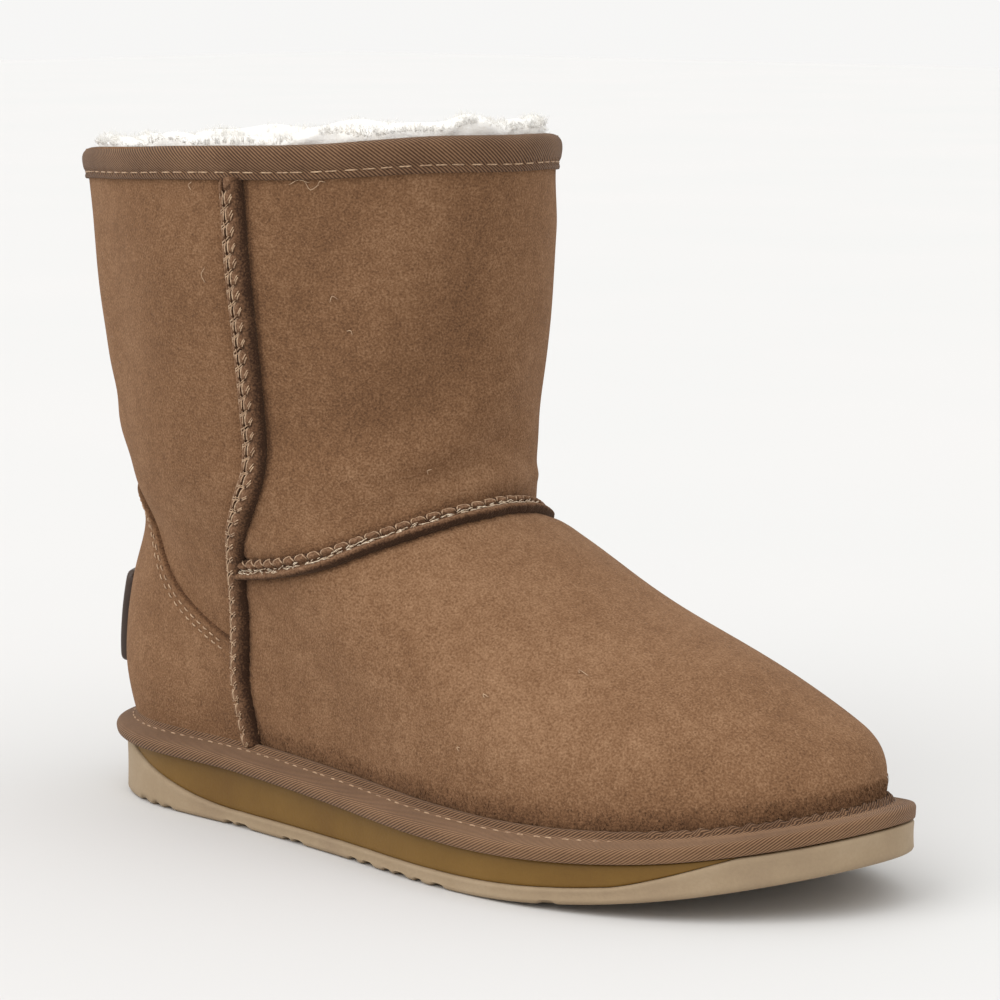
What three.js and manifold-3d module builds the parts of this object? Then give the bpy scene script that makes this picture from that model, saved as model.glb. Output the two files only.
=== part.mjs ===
// A sheepskin boot for the right foot: a suede upper lined with fleece, on a flat foam sole.
// Millimetres. The boot stands on z = 0 with its toe at +X, its outer side at -Y and its inner side at +Y.
import * as THREE from 'three';
import { mergeVertices } from 'three/addons/utils/BufferGeometryUtils.js';
import Module from 'manifold-3d';

const wasm = await Module();
wasm.setup();

// Driving sizes of the last and the sole
const LENGTH = 274;
const BALL_WIDTH = 108;
const INSTEP_HEIGHT = 89;
const SHAFT_HEIGHT = 92;
const HEEL_THICKNESS = 17;
const BALL_THICKNESS = 13;
const TOE_THICKNESS = 9;
const TOE_SPRING = 14;
const FOOT_INSET = 8;

// Walls, tapes and seams
const WALL = 2.4;
const CLEARANCE = 0.3;
const SEAT = 0.5;
const LINING_SEAT = 0.7;
const INSOLE_THICKNESS = 6;
const FOOT_FLEECE = 5;
const SHAFT_FLEECE = 8;
const WOOL_RISE = 5;
const LOCK_HEIGHT = 8;
const LOCK_RADIUS = 3.6;
const TAPE_THICKNESS = 1.4;
const COLLAR_TAPE_HEIGHT = 8;
const COLLAR_LOW_AT_BACK = 5;
const COLLAR_HIGH_AT_FRONT = 4;
const BINDING_HEIGHT = 7.4;
const BINDING_OVERHANG = 3.2;
const BINDING_TOE_OVERHANG = 1.2;
const SIDE_SEAM_WIDTH = 6.5;
const VAMP_SEAM_WIDTH = 5;
const SEAM_RISE = 2.8;
const COUNTER_THICKNESS = 1.6;
const LABEL_WIDTH = 38;
const LABEL_HEIGHT = 28;
const LABEL_CENTRE = 34;
const LABEL_THICKNESS = 2.2;

// The sole's side and tread
const LEDGE = 4.8;
const PANEL_INSET = 0.8;
const LUG_DEPTH = 1.8;
const LUG_GROOVE = 4;
const LUG_PITCH = 13;
const TREAD_MARGIN = 14;

// How finely the forms are faceted
const AROUND = 48;
const LINING_AROUND = 32;
const OUTLINE_POINTS = 60;
const PROFILE_STEPS = 30;

// The sole's outline from the heel's back along the outer side to the toe, and back along the inner side:
// along as a share of the length, across as a share of half the ball width.
const OUTLINE = [
  { along: 0.000, across: 0.00 },
  { along: 0.030, across: -0.42 },
  { along: 0.120, across: -0.69 },
  { along: 0.280, across: -0.76 },
  { along: 0.440, across: -0.86 },
  { along: 0.600, across: -0.99 },
  { along: 0.740, across: -0.97 },
  { along: 0.875, across: -0.72 },
  { along: 0.970, across: -0.26 },
  { along: 1.000, across: 0.18 },
  { along: 0.972, across: 0.56 },
  { along: 0.885, across: 0.84 },
  { along: 0.760, across: 0.97 },
  { along: 0.640, across: 0.95 },
  { along: 0.490, across: 0.80 },
  { along: 0.330, across: 0.69 },
  { along: 0.150, across: 0.68 },
  { along: 0.030, across: 0.42 },
];

// Sections of the upper round the foot. height is a share of the instep height, back and front are shares of
// the length, outer and inner are shares of the ball width, and round goes from the sole's form to an ellipse.
const FOOT_SECTIONS = [
  { height: 0.000, back: 0.020, front: 0.965, outer: 0.417, inner: 0.421, round: 0.00 },
  { height: 0.090, back: 0.008, front: 0.968, outer: 0.435, inner: 0.444, round: 0.00 },
  { height: 0.180, back: 0.000, front: 0.961, outer: 0.440, inner: 0.454, round: 0.05 },
  { height: 0.281, back: -0.005, front: 0.926, outer: 0.435, inner: 0.454, round: 0.10 },
  { height: 0.393, back: -0.003, front: 0.857, outer: 0.426, inner: 0.444, round: 0.20 },
  { height: 0.528, back: 0.005, front: 0.754, outer: 0.417, inner: 0.435, round: 0.40 },
  { height: 0.657, back: 0.013, front: 0.651, outer: 0.417, inner: 0.431, round: 0.60 },
  { height: 0.775, back: 0.018, front: 0.571, outer: 0.426, inner: 0.440, round: 0.80 },
  { height: 0.888, back: 0.017, front: 0.523, outer: 0.440, inner: 0.454, round: 0.95 },
  { height: 1.000, back: 0.012, front: 0.512, outer: 0.454, inner: 0.468, round: 1.00 },
];

// Sections of the shaft over the instep: height is a share of the shaft's height, the rest as above.
const SHAFT_SECTIONS = [
  { height: 0.196, back: 0.003, front: 0.515, outer: 0.472, inner: 0.486, round: 1.00 },
  { height: 0.457, back: -0.011, front: 0.523, outer: 0.500, inner: 0.514, round: 1.00 },
  { height: 0.728, back: -0.023, front: 0.533, outer: 0.519, inner: 0.528, round: 1.00 },
  { height: 1.000, back: -0.036, front: 0.543, outer: 0.528, inner: 0.537, round: 1.00 },
];

// Where the side seam runs at each section from the second one up: around is a share of the way round the upper,
// from the heel's back to the toe at a half.
const SIDE_SEAM = [0.168, 0.169, 0.172, 0.181, 0.197, 0.218, 0.245, 0.275, 0.293, 0.297, 0.297, 0.294, 0.291];

// The vamp seam's height on the upper, counted in sections, against its distance round from the instep's middle.
const VAMP_SEAM = [
  { away: 0.000, section: 8.17 },
  { away: 0.050, section: 8.03 },
  { away: 0.085, section: 7.80 },
  { away: 0.117, section: 7.53 },
  { away: 0.148, section: 7.22 },
  { away: 0.180, section: 6.84 },
  { away: 0.213, section: 6.55 },
  { away: 0.248, section: 6.26 },
  { away: 0.290, section: 6.00 },
];

// The counter's upper edge, counted in sections, from the heel's middle (0) to the side seam (1).
const COUNTER_EDGE = [
  { away: 0.00, section: 8.10 },
  { away: 0.20, section: 8.02 },
  { away: 0.40, section: 7.68 },
  { away: 0.54, section: 7.00 },
  { away: 0.60, section: 6.35 },
  { away: 0.70, section: 5.50 },
  { away: 0.80, section: 4.90 },
  { away: 0.90, section: 4.45 },
  { away: 1.00, section: 4.10 },
];

const { lerp, clamp, smoothstep } = THREE.MathUtils;

// Catmull-Rom curve through rows of numbers, at t counted in rows; past an open end it goes on straight.
function curve(rows, t, closed) {
  const last = rows.length - 1;
  const start = closed ? Math.floor(t) : clamp(Math.floor(t), 0, last - 1);
  const f = clamp(t - start, 0, 1);
  const row = (k) => {
    if (closed) return rows[((k % rows.length) + rows.length) % rows.length];
    if (k < 0) return rows[0].map((value, i) => 2 * value - rows[1][i]);
    if (k > last) return rows[last].map((value, i) => 2 * value - rows[last - 1][i]);
    return rows[k];
  };
  const [a, b, c, d] = [row(start - 1), row(start), row(start + 1), row(start + 2)];
  const over = t - start - f;
  return b.map((value, i) => {
    const slope = (c[i] - a[i]) / 2;
    const slopeAfter = (d[i] - value) / 2;
    const rise = c[i] - value;
    const bend = 3 * rise - 2 * slope - slopeAfter;
    const twist = slope + slopeAfter - 2 * rise;
    return value + f * (slope + f * (bend + f * twist)) + over * (over > 0 ? slopeAfter : slope);
  });
}

// Straight lines through a table: the value at x, where the key column rises.
function tableValue(table, key, column, x) {
  const last = table.length - 1;
  let k = 0;
  while (k < last - 1 && table[k + 1][key] < x) k += 1;
  const share = (x - table[k][key]) / (table[k + 1][key] - table[k][key]);
  return lerp(table[k][column], table[k + 1][column], clamp(share, 0, 1));
}

// The sole: its outline in X and Y, its underside and its top.
const outlineRows = OUTLINE.map((row) => [row.along * LENGTH, row.across * BALL_WIDTH / 2]);

function soleOutline(around, outset) {
  const at = (share) => new THREE.Vector2(...curve(outlineRows, share * outlineRows.length, true));
  const nudge = 0.001;
  const run = at(around + nudge).sub(at(around - nudge)).normalize();
  return at(around).add(new THREE.Vector2(run.y, -run.x).multiplyScalar(outset));
}

function soleBottom(x) {
  const springFrom = 0.62;
  return TOE_SPRING * Math.max(0, (x / LENGTH - springFrom) / (1 - springFrom)) ** 2;
}

function soleTop(x) {
  const share = x / LENGTH;
  const behind = lerp(HEEL_THICKNESS, BALL_THICKNESS, smoothstep(share, 0.22, 0.68));
  return soleBottom(x) + lerp(behind, TOE_THICKNESS, smoothstep(share, 0.6, 1));
}

// The upper's outer form: around is a share of the way round, section counts the rows of the two tables.
const SECTIONS = [
  ...FOOT_SECTIONS.map((row) => ({ ...row, height: row.height * INSTEP_HEIGHT })),
  ...SHAFT_SECTIONS.map((row) => ({ ...row, height: INSTEP_HEIGHT + row.height * SHAFT_HEIGHT })),
].map((row) => [
  row.height, row.back * LENGTH, row.front * LENGTH, row.outer * BALL_WIDTH, row.inner * BALL_WIDTH, row.round,
]);
const TOP = SECTIONS.length - 1;
const COLLAR_HEIGHT = INSTEP_HEIGHT + SHAFT_HEIGHT;

// The range that the inset outline spans, so that a section can take its form at any size.
const footRange = new THREE.Box2().setFromPoints(
  Array.from({ length: 360 }, (_, i) => soleOutline(i / 360, -FOOT_INSET)),
);

function form(around, section) {
  const [height, back, front, outer, inner, round] = curve(SECTIONS, section, false);
  const foot = soleOutline(around, -FOOT_INSET);
  const turn = 2 * Math.PI * around;
  const footX = (foot.x - footRange.min.x) / (footRange.max.x - footRange.min.x);
  const footY = foot.y < 0 ? -foot.y / footRange.min.y : foot.y / footRange.max.y;
  const along = lerp(footX, (1 - Math.cos(turn)) / 2, round);
  const across = lerp(footY, -Math.sin(turn), round);
  const x = lerp(back, front, along);
  const follow = clamp(1 - height / INSTEP_HEIGHT, 0, 1);
  const floor = lerp(HEEL_THICKNESS, soleTop(x), follow) + CLEARANCE;
  const upShaft = clamp((height - INSTEP_HEIGHT) / SHAFT_HEIGHT, 0, 1) ** 2;
  const tilt = (Math.cos(turn) > 0 ? -COLLAR_LOW_AT_BACK : COLLAR_HIGH_AT_FRONT) * Math.cos(turn) ** 2;
  return new THREE.Vector3(x, across * (across < 0 ? outer : inner), floor + height + upShaft * tilt);
}

function directions(around, section) {
  const nudge = 0.001;
  const low = Math.max(section - nudge, 0);
  const alongAround = form(around + nudge, section).sub(form(around - nudge, section)).divideScalar(2 * nudge);
  const upward = form(around, section + nudge).sub(form(around, low)).divideScalar(section + nudge - low);
  return { alongAround, upward, normal: alongAround.clone().cross(upward).normalize() };
}

// A point that lies out from the upper's outer form, or inside it where out is negative.
function skin(around, section, out) {
  return form(around, section).addScaledVector(directions(around, section).normal, out);
}

// The same point moved down or up to a height over the sole's top.
function skinOnSole(around, section, out, over) {
  const point = skin(around, section, out);
  point.z = soleTop(point.x) + over;
  return point;
}

// The section that lies so many millimetres over the sole's top, and over the collar's edge.
function sectionAt(height) {
  let k = 0;
  while (k < TOP - 1 && SECTIONS[k + 1][0] < height) k += 1;
  return k + (height - SECTIONS[k][0]) / (SECTIONS[k + 1][0] - SECTIONS[k][0]);
}

function sectionOverCollar(over) {
  return sectionAt(COLLAR_HEIGHT + over);
}

// Where a piece of this rise can start over the sole's binding: the heel's form leans it down as it stands out.
function sectionOverBinding(rise) {
  return sectionAt(BINDING_HEIGHT + 2 * CLEARANCE + rise / 2);
}

// Closed solid between two grids of points with the same rows and columns. A ringed one closes on itself.
function solidBetween(outer, inner, ringed) {
  const rows = outer.length;
  const columns = outer[0].length;
  const points = [...outer.flat(), ...inner.flat()];
  const triangles = [];
  const quad = (a, b, c, d) => triangles.push(a, b, c, a, c, d);
  const at = (side, i, k) => side * rows * columns + (i % rows) * columns + k;
  for (let i = 0; i < (ringed ? rows : rows - 1); i += 1) {
    for (let k = 0; k < columns - 1; k += 1) {
      quad(at(0, i, k), at(0, i + 1, k), at(0, i + 1, k + 1), at(0, i, k + 1));
      quad(at(1, i, k), at(1, i, k + 1), at(1, i + 1, k + 1), at(1, i + 1, k));
    }
    quad(at(0, i, 0), at(1, i, 0), at(1, i + 1, 0), at(0, i + 1, 0));
    quad(at(0, i, columns - 1), at(0, i + 1, columns - 1), at(1, i + 1, columns - 1), at(1, i, columns - 1));
  }
  for (let k = 0; k < columns - 1 && !ringed; k += 1) {
    const end = rows - 1;
    quad(at(0, 0, k), at(0, 0, k + 1), at(1, 0, k + 1), at(1, 0, k));
    quad(at(0, end, k), at(1, end, k), at(1, end, k + 1), at(0, end, k + 1));
  }
  return closedGeometry(points, triangles);
}

// Merges the points that coincide, drops the triangles that this closes up and turns the faces outward.
function closedGeometry(points, triangles) {
  let geometry = new THREE.BufferGeometry();
  geometry.setAttribute('position', new THREE.Float32BufferAttribute(points.flatMap((p) => p.toArray()), 3));
  geometry.setIndex(triangles);
  geometry = mergeVertices(geometry, 0.001);
  const merged = geometry.index.array;
  const kept = [];
  for (let t = 0; t < merged.length; t += 3) {
    const [a, b, c] = merged.slice(t, t + 3);
    if (a !== b && b !== c && c !== a) kept.push(a, b, c);
  }
  if (signedVolume(geometry, kept) < 0) kept.reverse();
  geometry.setIndex(kept);
  return geometry;
}

function signedVolume(geometry, triangles) {
  const corner = (k) => new THREE.Vector3().fromBufferAttribute(geometry.attributes.position, triangles[k]);
  let volume = 0;
  for (let t = 0; t < triangles.length; t += 3) {
    volume += corner(t).dot(corner(t + 1).cross(corner(t + 2))) / 6;
  }
  return volume;
}

function toSolid(geometry) {
  let plain = geometry.clone();
  plain.deleteAttribute('normal');
  plain.deleteAttribute('uv');
  plain = mergeVertices(plain, 0.001);
  return new wasm.Manifold(new wasm.Mesh({
    numProp: 3,
    vertProperties: new Float32Array(plain.attributes.position.array),
    triVerts: new Uint32Array(plain.index.array),
  }));
}

function toGeometry(solid) {
  const mesh = solid.getMesh();
  const geometry = new THREE.BufferGeometry();
  geometry.setAttribute('position', new THREE.Float32BufferAttribute(mesh.vertProperties, 3));
  geometry.setIndex([...mesh.triVerts]);
  return geometry;
}

// Upright block over a closed line of points in X and Y.
function uprightBlock(points, height) {
  return toSolid(new THREE.ExtrudeGeometry(new THREE.Shape(points), { depth: height, bevelEnabled: false }));
}

// Block of the given width across Y over a closed line of points in X and Z.
function crossBlock(points, width) {
  const block = new THREE.ExtrudeGeometry(new THREE.Shape(points), { depth: width, bevelEnabled: false });
  block.rotateX(Math.PI / 2);
  block.translate(0, width / 2, 0);
  return toSolid(block);
}

// Closed line in X and Z between a lower and an upper height, from one place along the sole to another.
function profile(from, to, lower, upper, steps) {
  const stations = Array.from({ length: steps + 1 }, (_, i) => lerp(from, to, i / steps));
  return [
    ...stations.map((x) => new THREE.Vector2(x, lower(x))),
    ...stations.reverse().map((x) => new THREE.Vector2(x, upper(x))),
  ];
}

function soleBlock(outset) {
  const outline = Array.from({ length: OUTLINE_POINTS }, (_, i) => soleOutline(i / OUTLINE_POINTS, outset));
  const side = profile(-FOOT_INSET, LENGTH + FOOT_INSET, soleBottom, soleTop, PROFILE_STEPS);
  return uprightBlock(outline, LENGTH).intersect(crossBlock(side, 2 * BALL_WIDTH));
}

// The border between the tan outsole and the olive panel: down from the top behind the heel, level over a ledge,
// and up to the top again before the toe.
const PANEL_FROM = 0.075 * LENGTH;
const PANEL_LEVEL_FROM = 0.275 * LENGTH;
const PANEL_LEVEL_TO = 0.81 * LENGTH;
const PANEL_TO = 0.92 * LENGTH;

function panelBottom(x) {
  const full = soleTop(x) - soleBottom(x);
  const behind = clamp((PANEL_LEVEL_FROM - x) / (PANEL_LEVEL_FROM - PANEL_FROM), 0, 1) ** 2;
  const before = clamp((x - PANEL_LEVEL_TO) / (PANEL_TO - PANEL_LEVEL_TO), 0, 1) ** 1.5;
  return soleBottom(x) + lerp(LEDGE, full, Math.max(behind, before));
}

function panelBlock(clearance) {
  const lower = (x) => panelBottom(x) - clearance;
  const upper = (x) => soleTop(x) + INSOLE_THICKNESS;
  const side = profile(PANEL_FROM - clearance, PANEL_TO + clearance, lower, upper, PROFILE_STEPS);
  return crossBlock(side, 2 * BALL_WIDTH);
}

function midsole() {
  return toGeometry(soleBlock(-PANEL_INSET).intersect(panelBlock(0)));
}

// Cross grooves under the heel and the forefoot, and a groove along the middle of each.
function treadCut() {
  const treads = [
    { from: TREAD_MARGIN, to: 0.28 * LENGTH },
    { from: 0.4 * LENGTH, to: LENGTH - TREAD_MARGIN },
  ];
  const under = (x) => soleBottom(x) - LUG_DEPTH;
  const into = (x) => soleBottom(x) + LUG_DEPTH;
  const cuts = [];
  for (const { from, to } of treads) {
    cuts.push(crossBlock(profile(from, to, under, into, 8), LUG_GROOVE));
    const count = Math.floor((to - from) / LUG_PITCH);
    const pitch = (to - from) / count;
    for (let i = 0; i <= count; i += 1) {
      const start = from + i * pitch - LUG_GROOVE / 2;
      cuts.push(crossBlock(profile(start, start + LUG_GROOVE, under, into, 1), 2 * BALL_WIDTH));
    }
  }
  return cuts.reduce((all, cut) => all.add(cut));
}

function outsole() {
  return toGeometry(soleBlock(0).subtract(panelBlock(CLEARANCE)).subtract(treadCut()));
}

// Levels of the upper and of its lining, counted in sections, close together where the form bends.
const LEVELS = [2, 2.5, 3, 3.5, 4, 4.5, 5, 5.5, 6, 6.5, 7, 7.5, 8, 8.5, 9, 9.5, 10, 11, 12];
const LINING_LEVELS = [2, 3, 4, 5, 6, 7, 7.5, 8, 8.5, 9, 9.5, 10, 12];

// Stations round the boot that the ringed pieces share.
function stations(count) {
  return Array.from({ length: count }, (_, i) => i / count);
}

// The upper's own shell, its lower edges cut level with the sole's top.
function upper() {
  const levels = [0, 1, ...LEVELS, TOP];
  const wallAt = (out) => stations(AROUND).map((around) => levels.map((level) => (
    level === 0 ? skinOnSole(around, level, out, CLEARANCE) : skin(around, level, out)
  )));
  return solidBetween(wallAt(0), wallAt(-WALL), true);
}

// How far the binding stands out over the sole: less towards the toe.
function overhang(x) {
  return lerp(BINDING_OVERHANG, BINDING_TOE_OVERHANG, smoothstep(x / LENGTH, 0.45, 0.95));
}

// Folded tape round the foot: its outer side stands out over the sole, its inner side follows the upper.
function soleBinding() {
  const outerLine = [
    { outset: 0.45, height: 0 },
    { outset: 0.9, height: 0.18 },
    { outset: 1, height: 0.5 },
    { outset: 0.8, height: 0.84 },
  ];
  const topLand = 0.4 * BINDING_OVERHANG;
  const top = sectionAt(BINDING_HEIGHT);
  const outerSide = stations(AROUND).map((around) => [
    ...outerLine.map(({ outset, height }) => {
      const edge = soleOutline(around, outset * overhang(soleOutline(around, 0).x));
      return new THREE.Vector3(edge.x, edge.y, soleTop(edge.x) + CLEARANCE + height * BINDING_HEIGHT);
    }),
    skin(around, top, CLEARANCE + topLand),
  ]);
  const innerSide = stations(AROUND).map((around) => [
    skinOnSole(around, 0, CLEARANCE, CLEARANCE),
    ...outerLine.map((_, k) => skin(around, top * (k + 1) / outerLine.length, CLEARANCE)),
  ]);
  return solidBetween(outerSide, innerSide, true);
}

// Sock on the sole, filling the upper's foot from side to side.
function insole() {
  const half = AROUND / 2;
  const layer = (over) => Array.from({ length: half + 1 }, (_, i) => {
    const side = (around) => skinOnSole(around, 0, -WALL - CLEARANCE, over);
    const left = side(i / AROUND);
    const right = side(1 - i / AROUND);
    return [left, right];
  });
  return solidBetween(layer(CLEARANCE + INSOLE_THICKNESS), layer(CLEARANCE), false);
}

// Fleece inside the upper, from the insole to over the collar, with locks standing on its rim.
function woolLining() {
  const footOver = CLEARANCE + INSOLE_THICKNESS + CLEARANCE;
  const lowest = sectionAt(footOver);
  const levels = [lowest, ...LINING_LEVELS, sectionOverCollar(-COLLAR_TAPE_HEIGHT)];
  const thickens = { from: 5, to: 9 };
  const fleece = (level) => lerp(FOOT_FLEECE, SHAFT_FLEECE, smoothstep(level, thickens.from, thickens.to));
  const againstTape = WALL + 2 * CLEARANCE + TAPE_THICKNESS;
  const rim = [
    { depth: 0, over: -COLLAR_TAPE_HEIGHT + TAPE_THICKNESS },
    { depth: 0, over: 0.4 * WOOL_RISE },
    { depth: 0.25, over: WOOL_RISE },
  ];
  const rimPoint = (around, { depth, over }) => (
    skin(around, sectionOverCollar(over), -againstTape - depth * SHAFT_FLEECE)
  );
  const outerSide = stations(LINING_AROUND).map((around) => [
    ...levels.map((level) => skin(around, level, -WALL - LINING_SEAT)),
    ...rim.map((row) => rimPoint(around, row)),
  ]);
  const innerSide = stations(LINING_AROUND).map((around) => [
    skinOnSole(around, lowest, -WALL - LINING_SEAT - FOOT_FLEECE, footOver),
    ...levels.slice(1).map((level) => skin(around, level, -WALL - LINING_SEAT - fleece(level))),
    ...rim.map(({ depth, over }) => rimPoint(around, { depth: 1 - depth, over })),
  ]);
  let solid = toSolid(solidBetween(outerSide, innerSide, true));
  for (const lock of rimLocks(againstTape)) solid = solid.add(lock);
  return toGeometry(solid);
}

// Tapered locks of wool round the rim. Sines that never repeat make each stand, lean and twist its own way.
function rimLocks(againstTape) {
  const count = 24;
  const sides = 5;
  return Array.from({ length: count }, (_, i) => {
    const lean = 0.35 * Math.sin(2.4 * i);
    const twist = 0.5 * Math.sin(4.1 * i + 1);
    const height = LOCK_HEIGHT * (0.8 + 0.25 * Math.sin(5.3 * i));
    const base = skin((i + 0.3 * Math.sin(3 * i)) / count, TOP, -againstTape - SHAFT_FLEECE / 2);
    const { alongAround, upward, normal } = directions(i / count, TOP);
    const lock = new THREE.ConeGeometry(LOCK_RADIUS, height, sides);
    lock.translate(0, height / 2, 0);
    const tip = upward.normalize().addScaledVector(normal, lean).addScaledVector(alongAround.normalize(), twist);
    const turn = new THREE.Quaternion().setFromUnitVectors(new THREE.Vector3(0, 1, 0), tip.normalize());
    lock.applyQuaternion(turn);
    lock.translate(base.x, base.y, base.z + 0.3 * WOOL_RISE);
    return toSolid(lock);
  });
}

// Tape folded over the collar's edge, from its outer leaf over the top to its inner leaf.
function collarBinding() {
  const outside = CLEARANCE + TAPE_THICKNESS;
  const inside = -WALL - CLEARANCE - TAPE_THICKNESS;
  const fold = [
    { outer: outside, outerOver: -COLLAR_TAPE_HEIGHT, inner: CLEARANCE, innerOver: -COLLAR_TAPE_HEIGHT },
    { outer: outside, outerOver: -CLEARANCE, inner: CLEARANCE, innerOver: CLEARANCE },
    { outer: -WALL / 2, outerOver: CLEARANCE + TAPE_THICKNESS, inner: -WALL / 2, innerOver: CLEARANCE },
    { outer: inside, outerOver: -CLEARANCE, inner: -WALL - CLEARANCE, innerOver: CLEARANCE },
    {
      outer: inside,
      outerOver: TAPE_THICKNESS - COLLAR_TAPE_HEIGHT,
      inner: -WALL - CLEARANCE,
      innerOver: TAPE_THICKNESS - COLLAR_TAPE_HEIGHT,
    },
  ];
  const outerSide = stations(AROUND).map((around) => fold.map((row) => (
    skin(around, sectionOverCollar(row.outerOver), row.outer)
  )));
  const innerSide = stations(AROUND).map((around) => fold.map((row) => (
    skin(around, sectionOverCollar(row.innerOver), row.inner)
  )));
  return solidBetween(outerSide, innerSide, true);
}

// Change in around and section that moves a point on the form by a vector lying in the skin.
function stepOnSkin(around, section, move) {
  const { alongAround, upward } = directions(around, section);
  const [aa, au, uu] = [alongAround.dot(alongAround), alongAround.dot(upward), upward.dot(upward)];
  const [ma, mu] = [move.dot(alongAround), move.dot(upward)];
  const scale = aa * uu - au * au;
  return { around: (ma * uu - mu * au) / scale, section: (mu * aa - ma * au) / scale };
}

// Raised seam on the upper along a path of places, rounded across its width.
function raisedSeam(path, width) {
  const across = [
    { share: -1, rise: 0.3 },
    { share: -0.75, rise: 0.85 },
    { share: 0, rise: 1 },
    { share: 0.75, rise: 0.85 },
    { share: 1, rise: 0.3 },
  ];
  const line = (risen) => path.map((place, i) => {
    const before = path[Math.max(i - 1, 0)];
    const after = path[Math.min(i + 1, path.length - 1)];
    const run = form(after.around, after.section).sub(form(before.around, before.section)).normalize();
    const sideways = run.cross(directions(place.around, place.section).normal).normalize();
    return across.map(({ share, rise }) => {
      const { around, section } = place;
      const move = stepOnSkin(around, section, sideways.clone().multiplyScalar(share * width / 2));
      return skin(around + move.around, section + move.section, SEAT + risen * rise * SEAM_RISE);
    });
  });
  return solidBetween(line(1), line(0), false);
}

function sideSeamAround(section) {
  return curve(SIDE_SEAM.map((around) => [around]), section - 1, false)[0];
}

// From just over the sole's binding to just under the collar's.
function sideSeam(mirrored) {
  const from = sectionOverBinding(SEAM_RISE);
  const to = sectionOverCollar(-COLLAR_TAPE_HEIGHT - CLEARANCE);
  const steps = 14;
  const path = Array.from({ length: steps + 1 }, (_, i) => {
    const section = lerp(from, to, i / steps);
    const around = sideSeamAround(section);
    return { around: mirrored ? 1 - around : around, section };
  });
  return raisedSeam(path, SIDE_SEAM_WIDTH);
}

// Half the width of a side seam with a clearance, as a share of the way round at that section.
function seamShare(section, clearance) {
  const around = sideSeamAround(section);
  return (SIDE_SEAM_WIDTH / 2 + clearance) / directions(around, section).alongAround.length();
}

// Over the instep from one side seam to the other.
function vampSeam() {
  const lowest = VAMP_SEAM[VAMP_SEAM.length - 1].section;
  const reach = 0.5 - sideSeamAround(lowest) - seamShare(lowest, 3 * CLEARANCE + VAMP_SEAM_WIDTH / 2);
  const steps = 24;
  const path = Array.from({ length: steps + 1 }, (_, i) => {
    const away = lerp(-reach, reach, i / steps);
    return { around: 0.5 + away, section: tableValue(VAMP_SEAM, 'away', 'section', Math.abs(away)) };
  });
  return raisedSeam(path, VAMP_SEAM_WIDTH);
}

// Overlay round the heel, from the sole's binding to its own edge and from seam to seam.
function heelCounter() {
  const lowest = sectionOverBinding(COUNTER_THICKNESS);
  const half = 10;
  const aways = Array.from({ length: 2 * half + 1 }, (_, i) => i / half - 1);
  const steps = 7;
  const layer = (out) => aways.map((away) => {
    const edge = tableValue(COUNTER_EDGE, 'away', 'section', Math.abs(away));
    return Array.from({ length: steps + 1 }, (_, k) => {
      const section = lerp(lowest, edge, k / steps);
      return skin(away * (sideSeamAround(section) - seamShare(section, 2 * CLEARANCE)), section, out);
    });
  });
  return solidBetween(layer(SEAT + COUNTER_THICKNESS), layer(SEAT), false);
}

// Plain patch on the back of the counter.
function heelLabel() {
  const out = 2 * SEAT + COUNTER_THICKNESS;
  const acrossSteps = 8;
  const upSteps = 4;
  const place = (i, k, lift) => {
    const section = sectionAt(LABEL_CENTRE + LABEL_HEIGHT * (k / upSteps - 0.5));
    const reach = LABEL_WIDTH / 2 / directions(0, section).alongAround.length();
    return skin(lerp(-reach, reach, i / acrossSteps), section, out + lift);
  };
  const layer = (lift) => Array.from({ length: acrossSteps + 1 }, (_, i) => (
    Array.from({ length: upSteps + 1 }, (__, k) => place(i, k, lift))
  ));
  return solidBetween(layer(LABEL_THICKNESS), layer(0), false);
}

// Materials
const suede = { color: 0x8a6547, roughness: 0.95, metalness: 0 };
const seamSuede = { color: 0x6f4d35, roughness: 0.95, metalness: 0 };
const twill = { color: 0x7d6350, roughness: 0.9, metalness: 0 };
const tanFoam = { color: 0xa89072, roughness: 0.75, metalness: 0 };
const oliveFoam = { color: 0x7c6334, roughness: 0.75, metalness: 0 };
const fleece = { color: 0xe9dfcc, roughness: 1, metalness: 0 };
const darkLeather = { color: 0x3a2a20, roughness: 0.7, metalness: 0 };

const boot = new THREE.Group();
boot.name = 'sheepskin_boot';

function addPiece(name, geometry, material) {
  geometry.computeVertexNormals();
  const mesh = new THREE.Mesh(geometry, new THREE.MeshStandardMaterial(material));
  mesh.name = name;
  boot.add(mesh);
}

addPiece('outsole', outsole(), tanFoam);
addPiece('midsole', midsole(), oliveFoam);
addPiece('sole_binding', soleBinding(), twill);
addPiece('insole', insole(), fleece);
addPiece('upper', upper(), suede);
addPiece('heel_counter', heelCounter(), suede);
addPiece('heel_label', heelLabel(), darkLeather);
addPiece('collar_binding', collarBinding(), twill);
addPiece('side_seam_outer', sideSeam(false), seamSuede);
addPiece('side_seam_inner', sideSeam(true), seamSuede);
addPiece('vamp_seam', vampSeam(), seamSuede);
addPiece('wool_lining', woolLining(), fleece);

// The boot's own frame: centred along and across over the floor.
const extent = new THREE.Box3().setFromObject(boot);
const middle = extent.getCenter(new THREE.Vector3());
boot.position.set(-middle.x, -middle.y, -extent.min.z);
boot.updateMatrixWorld(true);

export default boot;
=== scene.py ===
# Dresses a sheepskin boot for the right foot: suede upper, twill tapes, overlocked seams, fleece, foam sole.
# Sizes are in millimetres and places are on the last: around is a share of the way round the boot, 0 at the
# heel's back, a quarter on the outer side and a half at the toe, and section counts the sections upward.
import math

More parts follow.
